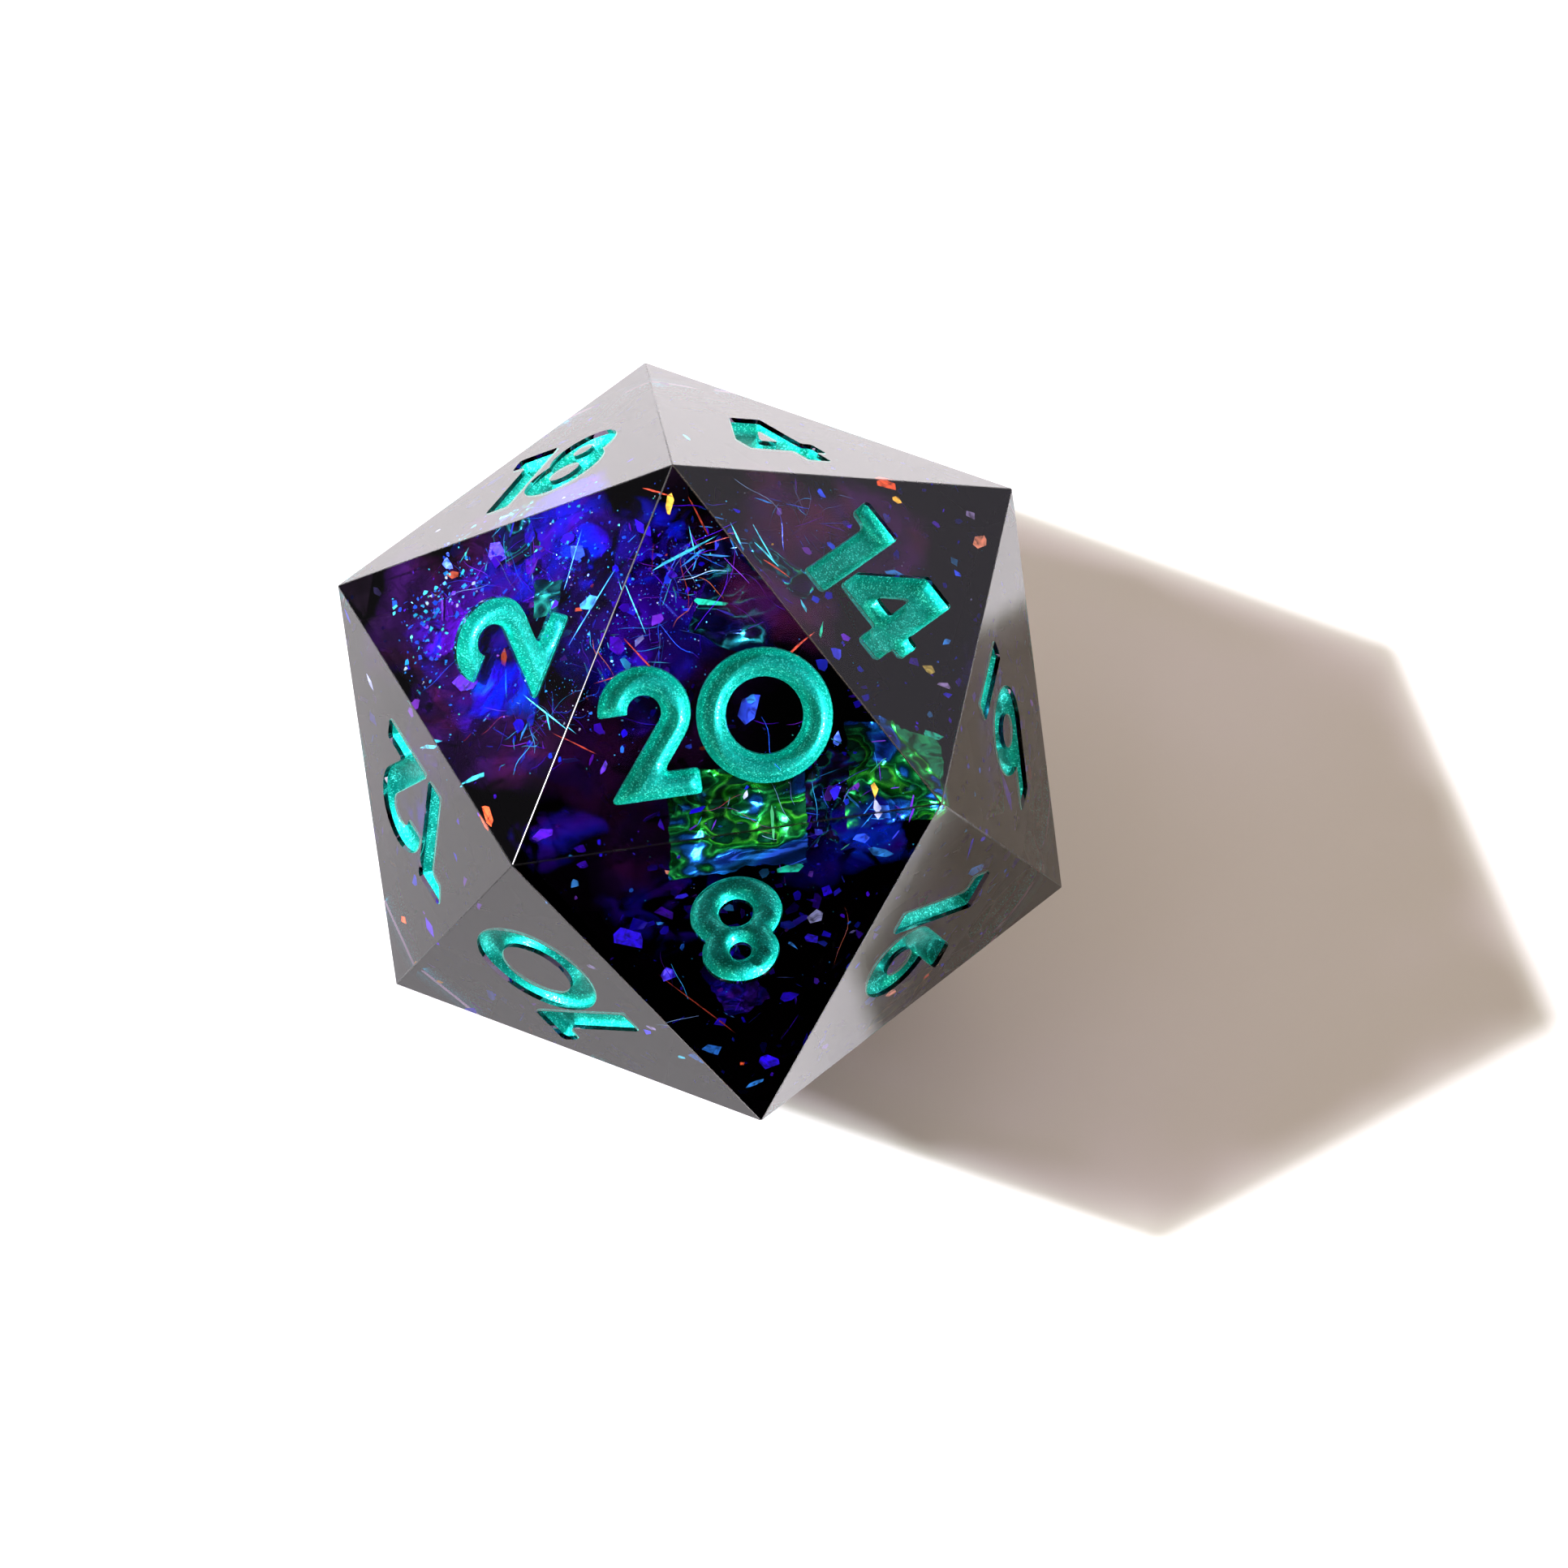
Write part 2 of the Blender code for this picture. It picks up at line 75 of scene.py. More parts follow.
TOP_CORNERS = {"B": 90, "E": 210, "F": 330}
BELT_CORNERS = {"D": 30, "C": 150, "H": 270}
FACE_CORNERS = {
    20: ("B", "E", "F"),
    2: ("C", "B", "E"),
    14: ("D", "B", "F"),
    8: ("H", "E", "F"),
    18: ("-H", "B", "C"),
    4: ("-H", "B", "D"),
    12: ("-D", "C", "E"),
    10: ("-D", "E", "H"),
    16: ("-C", "F", "H"),
    6: ("-C", "D", "F"),
}
OPPOSITE_SUM = 21
UNDERLINED = (6, 9)
NUMERAL_SHIFT = {
    20: (0.2 * MM, -0.4 * MM),
    2: (-0.2 * MM, 0.0),
    4: (-0.5 * MM, -0.2 * MM),
    10: (0.3 * MM, -0.1 * MM),
    6: (0.0, 0.2 * MM),
    9: (0.0, 0.2 * MM),
}

# The digits, drawn as in the model but with finer arcs and softened corners.
HEIGHT = 4.3 * MM
STROKE = 0.92 * MM
BAR = 0.82 * MM
DIGIT_SPACE = 0.15 * MM
ZERO_RADIUS = 2.18 * MM
BOWL_RADIUS = 1.48 * MM
SMALL_BOWL_RADIUS = 1.24 * MM
SMALL_HOLE_RADIUS = 0.36 * MM
ONE_WIDTH = 1.6 * MM
ONE_TIP_CUT = 0.12 * MM
ONE_ARMPIT = 0.25 * MM
TWO_LEAVE_ANGLE = -38
THREE_END_ANGLE = 155
THREE_MIDDLE_ANGLE = 95
FOUR_WIDTH = 3.08 * MM
FOUR_NUB = 0.42 * MM
FOUR_BAR_HEIGHT = 0.9 * MM
FOUR_TOP_SHELF = 0.32 * MM
FOUR_HOLE = (0.76 * MM, 1.3 * MM)
FIVE_TOP_RIGHT = 2.7 * MM
FIVE_TOP_LEFT = 0.36 * MM
FIVE_FOOT = (0.14 * MM, 2.05 * MM)
FIVE_NECK = 1.12 * MM
FIVE_INNER_START = 125
FIVE_OUTER_START = 100
FIVE_END_ANGLE = -150
SIX_STEM_ANGLE = 148
SEVEN_WIDTH = 2.85 * MM
SEVEN_FOOT = (0.6 * MM, 1.6 * MM)
SEVEN_ARMPIT = 1.78 * MM
SEVEN_SHOULDER = 0.66 * MM
UNDERLINE_LENGTH = 2.85 * MM
UNDERLINE_GAP = 0.55 * MM
ARC_STEP = 7.5
LONGEST_SEGMENT = 0.3 * MM
CORNER_ROUNDING = 0.15 * MM
CORNER_STEPS = 4
LARGEST_CUT = 0.4
SHARP_TURN = math.radians(38)
ONLY_WITHIN = 1
MERGE_TOLERANCE = 1e-9

# The groove's cross-section, and the paint in it. Both are half ellipses.
GROOVE_HALF_WIDTH = 0.42 * MM
GROOVE_DEPTH = 0.70 * MM
PAINT_OVERLAP = 0.015 * MM
PAINT_RIM = 0.025 * MM
PAINT_DISH = 0.50 * MM
PAINT_SKIN = 0.03 * MM
# Width over which the paint's painted rim highlight gives way to the painted shade of the stroke's middle.
RIM_HIGHLIGHT_AND_SHADE_WIDTH = 0.26 * MM
PAINT_SMOOTH = 50
RING_DISTANCES = (0.03 * MM, 0.08 * MM, 0.15 * MM, 0.24 * MM, 0.34 * MM)
RING_TOLERANCE = 0.8


# -------------------- the icosahedron


def ring_point(radius, degrees, height):
    angle = math.radians(degrees)
    return Vector((radius * math.cos(angle), radius * math.sin(angle), height))


def opposite(name):
    return name[1:] if name.startswith("-") else "-" + name


def corner_positions():
    corners = {}
    for name, degrees in TOP_CORNERS.items():
        corners[name] = ring_point(FACE_RADIUS, degrees, INRADIUS)
    for name, degrees in BELT_CORNERS.items():
        corners[name] = ring_point(BELT_RADIUS, degrees, BELT_HEIGHT)
    for name, point in list(corners.items()):
        corners[opposite(name)] = -point
    return corners


def numeral_faces():
    faces = dict(FACE_CORNERS)
    for number, names in FACE_CORNERS.items():
        faces[OPPOSITE_SUM - number] = tuple(opposite(name) for name in names)
    return faces


CORNERS = corner_positions()
FACES = numeral_faces()


def face_matrix(number):
    points = [CORNERS[name] for name in FACES[number]]
    middle = sum(points, Vector()) / len(points)
    normal = middle.normalized()
    up = (points[0] - middle).normalized()
    right = up.cross(normal)
    turn = Matrix((right, up, normal)).transposed().to_4x4()
    return Matrix.Translation(CENTRE + middle) @ turn


# -------------------- the digits' outlines


def arc(centre, radius, start, end):
    steps = max(1, round(abs(end - start) / ARC_STEP))
    angles = [math.radians(start + (end - start) * i / steps) for i in range(steps + 1)]
    return [(centre[0] + radius * math.cos(a), centre[1] + radius * math.sin(a)) for a in angles]


def circle(centre, radius):
    return arc(centre, radius, 0, 360)[:-1]


def zero():
    middle = (ZERO_RADIUS, ZERO_RADIUS)
    return [circle(middle, ZERO_RADIUS), circle(middle, ZERO_RADIUS - STROKE)], 2 * ZERO_RADIUS


def one():
    stem_left = ONE_WIDTH - STROKE
    flag_bottom = HEIGHT - BAR
    outline = [
        (ONE_TIP_CUT / 2, flag_bottom),
        (stem_left - ONE_TIP_CUT, flag_bottom - ONE_TIP_CUT / 2),
        (stem_left, flag_bottom - ONE_ARMPIT),
        (stem_left, 0),
        (ONE_WIDTH, 0),
        (ONE_WIDTH, HEIGHT),
        (ONE_TIP_CUT, HEIGHT),
        (0, HEIGHT - ONE_TIP_CUT),
    ]
    return [outline], ONE_WIDTH


def two():
    middle = (BOWL_RADIUS, HEIGHT - BOWL_RADIUS)
    outer = arc(middle, BOWL_RADIUS, 180, TWO_LEAVE_ANGLE)
    inner = arc(middle, BOWL_RADIUS - STROKE, TWO_LEAVE_ANGLE, 180)
    run = math.tan(math.radians(-TWO_LEAVE_ANGLE))
    join = (outer[-1][0] - (outer[-1][1] - BAR) * run, BAR)
    tip = (inner[0][0] - inner[0][1] * run, 0)
    width = 2 * BOWL_RADIUS
    outline = outer + [join, (width, BAR), (width, 0), tip] + inner
    return [outline], width


def three():
    low, high, meet_low, meet_high = stacked_bowls()
    outline = arc(high, SMALL_BOWL_RADIUS, THREE_END_ANGLE, meet_high)
    outline += arc(low, BOWL_RADIUS, meet_low, -THREE_END_ANGLE)[1:]
    outline += arc(low, BOWL_RADIUS - STROKE, -THREE_END_ANGLE, THREE_MIDDLE_ANGLE)
    outline += arc(high, SMALL_HOLE_RADIUS, -THREE_MIDDLE_ANGLE, THREE_END_ANGLE)
    return [outline], 2 * BOWL_RADIUS


def four():
    stem_right = FOUR_WIDTH - FOUR_NUB
    stem_left = stem_right - STROKE
    bar_low = FOUR_BAR_HEIGHT
    bar_high = bar_low + STROKE
    outline = [(0, bar_high), (0, bar_low), (stem_left, bar_low), (stem_left, 0), (stem_right, 0)]
    outline += [(stem_right, bar_low), (FOUR_WIDTH, bar_low), (FOUR_WIDTH, bar_high)]
    outline += [(stem_right, bar_high), (stem_right, HEIGHT), (stem_left - FOUR_TOP_SHELF, HEIGHT)]
    hole_top = bar_high + FOUR_HOLE[1]
    hole = [(stem_left, bar_high), (stem_left, hole_top), (stem_left - FOUR_HOLE[0], bar_high)]
    return [outline, hole], FOUR_WIDTH


def five():
    middle = (BOWL_RADIUS, BOWL_RADIUS)
    bar_bottom = HEIGHT - BAR
    outline = [(FIVE_TOP_LEFT, HEIGHT), FIVE_FOOT]
    outline += arc(middle, BOWL_RADIUS - STROKE, FIVE_INNER_START, FIVE_END_ANGLE)
    outline += arc(middle, BOWL_RADIUS, FIVE_END_ANGLE, FIVE_OUTER_START)
    outline += [(FIVE_NECK, bar_bottom), (FIVE_TOP_RIGHT, bar_bottom), (FIVE_TOP_RIGHT, HEIGHT)]
    return [outline], 2 * BOWL_RADIUS


def six():
    middle = (BOWL_RADIUS, BOWL_RADIUS)
    hole_radius = BOWL_RADIUS - STROKE
    armpit = SIX_STEM_ANGLE - math.degrees(math.acos(hole_radius / BOWL_RADIUS))
    outer = arc(middle, BOWL_RADIUS, armpit, SIX_STEM_ANGLE - 360)
    slope = math.radians(SIX_STEM_ANGLE - 90)
    left = outer[-1][0] + (HEIGHT - outer[-1][1]) / math.tan(slope)
    right = left + STROKE / math.sin(slope)
    outline = [(left, HEIGHT), (right, HEIGHT)] + outer
    return [outline, circle(middle, hole_radius)], 2 * BOWL_RADIUS


def seven():
    bar_bottom = HEIGHT - BAR
    outline = [
        (0, bar_bottom),
        (SEVEN_ARMPIT, bar_bottom),
        (SEVEN_FOOT[0], 0),
        (SEVEN_FOOT[1], 0),
        (SEVEN_WIDTH, HEIGHT - SEVEN_SHOULDER),
        (SEVEN_WIDTH, HEIGHT),
        (0, HEIGHT),
    ]
    return [outline], SEVEN_WIDTH


def eight():
    low, high, meet_low, meet_high = stacked_bowls()
    outline = arc(high, SMALL_BOWL_RADIUS, 180 - meet_high, meet_high)
    outline += arc(low, BOWL_RADIUS, meet_low, -180 - meet_low)[1:-1]
    holes = [circle(low, BOWL_RADIUS - STROKE), circle(high, SMALL_HOLE_RADIUS)]
    return [outline] + holes, 2 * BOWL_RADIUS


def nine():
    loops, width = six()
    return [[(width - x, HEIGHT - y) for x, y in loop] for loop in loops], width


def stacked_bowls():
    low = (BOWL_RADIUS, BOWL_RADIUS)
    high = (BOWL_RADIUS, HEIGHT - SMALL_BOWL_RADIUS)
    apart = high[1] - low[1]
    rise = (apart**2 + BOWL_RADIUS**2 - SMALL_BOWL_RADIUS**2) / (2 * apart)
    on_low = math.degrees(math.asin(rise / BOWL_RADIUS))
    on_high = math.degrees(math.asin((rise - apart) / SMALL_BOWL_RADIUS))
    return low, high, on_low, on_high


DIGITS = (zero, one, two, three, four, five, six, seven, eight, nine)


def shifted(loops, right, up):
    return [[(x + right, y + up) for x, y in loop] for loop in loops]


def numeral_outlines(number):
    """The outlines of a numeral's pieces in its face's frame, as (CAD node, loops)."""
    drawn = [DIGITS[int(digit)]() for digit in str(number)]
    names = ("_tens", "_units") if len(drawn) > 1 else ("",)
    total = sum(width for _, width in drawn) + DIGIT_SPACE * (len(drawn) - 1)
    right, up = NUMERAL_SHIFT.get(number, (0, 0))
    left = right - total / 2
    low = up - HEIGHT / 2
    if number in UNDERLINED:
        low += (UNDERLINE_GAP + BAR) / 2
    pieces = []
    for name, (loops, width) in zip(names, drawn):
        pieces.append((f"paint_{number}{name}", shifted(loops, left, low)))
        left += width + DIGIT_SPACE
    if number in UNDERLINED:
        half = UNDERLINE_LENGTH / 2
        bar = [(-half, -BAR), (half, -BAR), (half, 0), (-half, 0)]
        pieces.append((f"paint_{number}_underline", shifted([bar], right, low - UNDERLINE_GAP)))
    return pieces


# -------------------- grooves


def softened(loop):
    """The loop with its sharp corners rounded and its long sides divided."""
    points = [Vector(p) for p in loop]
    rounded = []
    for i, here in enumerate(points):
        back = points[i - 1] - here
        ahead = points[(i + 1) % len(points)] - here
        turn = math.pi - back.angle(ahead)
        if turn < SHARP_TURN:
            rounded.append(here)
            continue
        longest = min(back.length, ahead.length) * LARGEST_CUT
        cut = min(CORNER_ROUNDING * math.tan(turn / 2), longest)
        start = here + back.normalized() * cut
        end = here + ahead.normalized() * cut
        for step in range(CORNER_STEPS + 1):
            t = step / CORNER_STEPS
            rounded.append(start * (1 - t) ** 2 + here * (2 * t * (1 - t)) + end * t**2)
    divided = []
    for i, here in enumerate(rounded):
        following = rounded[(i + 1) % len(rounded)]
        parts = max(1, math.ceil((following - here).length / LONGEST_SEGMENT))
        divided += [here.lerp(following, k / parts) for k in range(parts)]
    return divided


def signed_area(loop):
    following = loop[1:] + loop[:1]
    return sum(a[0] * b[1] - b[0] * a[1] for a, b in zip(loop, following)) / 2


def wound(loops):
    """The outer loop anticlockwise and the holes clockwise, so that the stroke is on their left."""
    result = []
    for index, loop in enumerate(loops):
        is_outer = index == 0
        is_anticlockwise = signed_area(loop) > 0
        result.append(loop if is_outer == is_anticlockwise else loop[::-1])
    return result


def left_normals(loop):
    normals = []
    for i, here in enumerate(loop):
        chord = loop[(i + 1) % len(loop)] - loop[i - 1]
        normals.append(Vector((-chord.y, chord.x)).normalized())
    return normals


def distances(points, loops):
    """Each point's distance to the nearest side of the loops."""
    starts = np.array([p for loop in loops for p in loop])
    ends = np.array([p for loop in loops for p in loop[1:] + loop[:1]])
    along = ends - starts
    to_point = points[:, None, :] - starts[None]
    share = (to_point * along[None]).sum(2) / (along**2).sum(1)[None]
    nearest = starts[None] + share.clip(0, 1)[:, :, None] * along[None]
    return np.sqrt(((points[:, None, :] - nearest) ** 2).sum(2)).min(1)


def is_inside(point, loop):
    inside = False
    for i, a in enumerate(loop):
        b = loop[i - 1]
        if (a.y > point.y) != (b.y > point.y):
            if point.x < (b.x - a.x) * (point.y - a.y) / (b.y - a.y) + a.x:
                inside = not inside
    return inside


def in_stroke(point, loops):
    return is_inside(point, loops[0]) and not any(is_inside(point, hole) for hole in loops[1:])


def closed_edges(loops):
    """The loops' sides as pairs of indices, with the loops' points counted one after another."""
    edges = []
    first = 0
    for loop in loops:
        count = len(loop)
        edges += [(first + i, first + (i + 1) % count) for i in range(count)]
        first += count
    return edges


def triangulated(loops, inner=()):
    """The points of the loops and the inner ones, and the triangles they make within the loops."""
    points = [p for loop in loops for p in loop] + list(inner)
    found = delaunay_2d_cdt(points, closed_edges(loops), [], ONLY_WITHIN, MERGE_TOLERANCE)
    return [Vector(p) for p in found[0]], found[2]


def middle_of(points, triangle):
    return sum((points[i] for i in triangle), Vector((0, 0))) / 3


class Stroke:
    """One digit's flat shape, meshed so that its rows of points follow its outline."""

    def __init__(self, loops):
        self.loops = wound([softened(loop) for loop in loops])
        self.outward = [-n for loop in self.loops for n in left_normals(loop)]
        rows = []
        for distance in RING_DISTANCES:
            for loop in self.loops:
                rows += [p + n * distance for p, n in zip(loop, left_normals(loop))]
        self.points, found = triangulated(self.loops, self.well_spaced(rows))
        self.triangles = [t for t in found if in_stroke(middle_of(self.points, t), self.loops)]
        self.depths = distances(np.array(self.points), self.loops)
        self.depths[: len(self.outward)] = 0

    def well_spaced(self, rows):
        """The points of the rows that really are at about their row's distance."""
        per_row = len(rows) // len(RING_DISTANCES)
        wanted = np.repeat(RING_DISTANCES, per_row)
        real = distances(np.array(rows), self.loops)
        inside = [in_stroke(p, self.loops) for p in rows]
        return [p for p, w, r, ok in zip(rows, wanted, real, inside) if ok and r > RING_TOLERANCE * w]

    def ellipse(self, depth, overlap=0.0):
        share = ((self.depths + overlap) / GROOVE_HALF_WIDTH).clip(0, 1)
        return depth * np.sqrt(1 - (1 - share) ** 2)


STROKES = {}
for face_number in sorted(FACES):
    STROKES[face_number] = [(name, Stroke(loops)) for name, loops in numeral_outlines(face_number)]


# -------------------- mesh and material helpers


def new_object(name, bm, materials, smooth=None):
    """An object from a bmesh. smooth is the angle above which an edge stays sharp, or None for flat."""
    mesh = bpy.data.meshes.new(name)
    bm.to_mesh(mesh)
    bm.free()
    for material in materials:
        mesh.materials.append(material)
    if smooth is not None:
        mesh.shade_smooth()
        mesh.set_sharp_from_angle(angle=math.radians(smooth))
    piece = bpy.data.objects.new(name, mesh)
    bpy.context.scene.collection.objects.link(piece)
    return piece


def dress(piece, slot, *nodes):
    """Rides the piece on the die and hides the CAD nodes it stands for; slot is not used."""
    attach(piece, "root")
    if nodes:
        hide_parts(*nodes)


class Nodes:
    """The nodes of a material or a world, with short ways to add nodes and links."""

    def __init__(self, owner, output="OutputMaterial"):
        owner.use_nodes = True
        self.owner = owner
        self.tree = owner.node_tree
        self.tree.nodes.clear()
        self.output = self.add(output)

    def add(self, kind, links=None, **values):
        node = self.tree.nodes.new("ShaderNode" + kind)
        for key, value in values.items():
            setattr(node, key, value)
        for key, value in (links or {}).items():
            self.set(node.inputs[key], value)
        return node

    def set(self, socket, value):
        if isinstance(value, bpy.types.NodeSocket):
            self.tree.links.new(value, socket)
        elif isinstance(value, bpy.types.Node):
            self.tree.links.new(value.outputs[0], socket)
        else:
            socket.default_value = value

    def ramp(self, factor, stops, interpolation="LINEAR"):
        """A ramp through stops, each of them a place and a grey, or a place, red, green and blue."""
        node = self.add("ValToRGB", {"Fac": factor})
        node.color_ramp.interpolation = interpolation
        elements = node.color_ramp.elements
        while len(elements) < len(stops):
            elements.new(0.5)
        for element, (place, *colour) in zip(elements, stops):
            element.position = place
            element.color = (*colour, 1) if len(colour) == 3 else grey(*colour)
        return node

    def place(self):
        return self.add("TexCoord").outputs["Object"]

    def attribute(self, name, output="Fac"):
        return self.add("Attribute", attribute_name=name).outputs[output]

    def noise(self, scale, detail=2.0, distortion=0.0, stretch=None):
        place = self.place()
        if stretch:
            place = self.add("VectorMath", {0: place, 1: stretch}, operation="MULTIPLY")
        values = {"Vector": place, "Scale": scale, "Detail": detail, "Distortion": distortion}
        return self.add("TexNoise", values).outputs["Fac"]

    def math(self, operation, a, b):
        return self.add("Math", {0: a, 1: b}, operation=operation)

    def toward(self, point, degrees):
        """How far a point lies along a level heading."""
        values = {0: point, 1: ring_point(1, degrees, 0)}
        return self.add("VectorMath", values, operation="DOT_PRODUCT").outputs["Value"]

    def map(self, value, source=(0, 1), target=(0, 1), interpolation="LINEAR"):
        node = self.add("MapRange", {"Value": value}, interpolation_type=interpolation)
        names = ("From Min", "From Max", "To Min", "To Max")
        for name, limit in zip(names, (*source, *target)):
            node.inputs[name].default_value = limit
        return node.outputs[0]

    def mix(self, factor, a, b, blend="MIX"):
        node = self.add("Mix", data_type="RGBA", blend_type=blend)
        for index, value in ((0, factor), (6, a), (7, b)):
            self.set(node.inputs[index], value)
        return node.outputs[2]

    def multiply(self, a, b):
        return self.mix(1.0, a, b, "MULTIPLY")

    def bump(self, height, strength, distance):
        return self.add("Bump", {"Height": height, "Strength": strength, "Distance": distance})

    def principled(self, colour, roughness, normal=None, metallic=0.0, specular=0.5):
        values = {"Base Color": colour, "Roughness": roughness, "Metallic": metallic}
        values["Specular IOR Level"] = specular
        if normal:
            values["Normal"] = normal
        return self.add("BsdfPrincipled", values)

    def finish(self, surface, volume=None):
        self.set(self.output.inputs["Surface"], surface)
        if volume:
            self.set(self.output.inputs["Volume"], volume)
        return self.owner


def material_nodes(name):
    return Nodes(bpy.data.materials.new(name))


def grey(level):
    return (level, level, level, 1)


# -------------------- materials

# How fine the patterns are, in rough repeats to the metre.
POLISH_GRAIN = 900.0
RESIN_RIPPLE = 260.0
PAINT_CLOUD = 1400.0
MICA_GRAIN = 26000.0
FINE_GRAIN = 5200.0
FILM_BANDS = 420.0
FILM_FOLDS = 520.0
VEIL_BANDS = 330.0
VEIL_PATCHES = 650.0
VEIL_CREASES = 1500.0
FLAKE_DRIFT = 2500.0
SHARD_STREAKS = 2100.0
FLOOR_GRAIN = 40.0

RESIN_SURFACE = (0.97, 0.95, 0.98, 1)
RESIN_SHADOW = (0.59, 0.64, 0.57, 1)
RESIN_TINT = (0.405, 0.30, 0.435, 1)
RESIN_ABSORPTION = 500.0
RESIN_IOR = 1.52
FACE_POLISH = (0.0, 0.035)
EDGE_POLISH = (0.24, 0.30)
PAINT_SHADES = ((0.25, 0, 0.24, 0.19), (0.8, 0.004, 0.46, 0.38))
PAINT_GLINT = (0.06, 0.86, 0.74, 1)
PAINT_DULL = (0.0, 0.07, 0.055, 1)
DULL_SHARE = 0.6
# Painted highlight and shade on the paint: a multiplier from a stroke's middle (darker) out to its rim
# (lighter).
PAINTED_RIM_HIGHLIGHT_AND_VALLEY_SHADE = ((0, 0.62, 0.62, 0.62), (0.45, 1, 1, 1), (1, 1.7, 1.55, 1.55))
SHARD_ROUGHNESS = 0.35
FIBRE_ROUGHNESS = 0.25
FLOOR_ROUGHNESS = 0.9


def resin_material(name, polish):
    """Resin that darkens to violet-black with depth, more or less polished. Lamps shine into it."""
    n = material_nodes(name)
    values = {
        "Base Color": RESIN_SURFACE,
        "Roughness": n.map(n.noise(POLISH_GRAIN, detail=3.0), target=polish),
        "IOR": RESIN_IOR,
        "Transmission Weight": 1.0,
        "Normal": n.bump(n.noise(RESIN_RIPPLE), strength=0.05, distance=0.02 * MM),
    }
    clear = n.add("BsdfTransparent", {"Color": RESIN_SHADOW})
    is_shadow = n.add("LightPath").outputs["Is Shadow Ray"]
    surface = n.add("MixShader", {0: is_shadow, 1: n.add("BsdfPrincipled", values), 2: clear})
    inside = n.add("VolumeAbsorption", {"Color": RESIN_TINT, "Density": RESIN_ABSORPTION})
    return n.finish(surface, inside)


def paint_material():
    """Teal paint thick with mica: soft metallic sheen, grains that glint, darker patches, and a painted
    highlight along each stroke's rim with painted shade down its middle.
    """
    n = material_nodes("teal_mica_paint")
    colour = n.ramp(n.noise(PAINT_CLOUD, detail=4.0), PAINT_SHADES)
    grains = n.add("TexVoronoi", {"Vector": n.place(), "Scale": MICA_GRAIN})
    grain = n.add("SeparateColor", {0: grains.outputs["Color"]}).outputs[0]
    glint = n.ramp(grain, ((0.80, 0), (0.95, 1)))
    dull = n.ramp(grain, ((0, 1), (0.3, 0)))
    colour = n.mix(glint, colour, PAINT_GLINT)
    colour = n.mix(n.math("MULTIPLY", dull, DULL_SHARE), colour, PAINT_DULL)
    # Painted highlight and shade: each stroke is lightened at its rim and darkened down its middle, as the
    # groove's curve would catch and lose the light.
    colour = n.multiply(colour, n.ramp(n.attribute("rim"), PAINTED_RIM_HIGHLIGHT_AND_VALLEY_SHADE))
    roughness = n.ramp(grain, ((0, 0.46), (1, 0.28)))
    height = n.math("ADD", grain, n.noise(FINE_GRAIN))
    normal = n.bump(height, strength=0.35, distance=0.012 * MM)
    return n.finish(n.principled(colour, roughness, normal, metallic=0.8, specular=0.2))


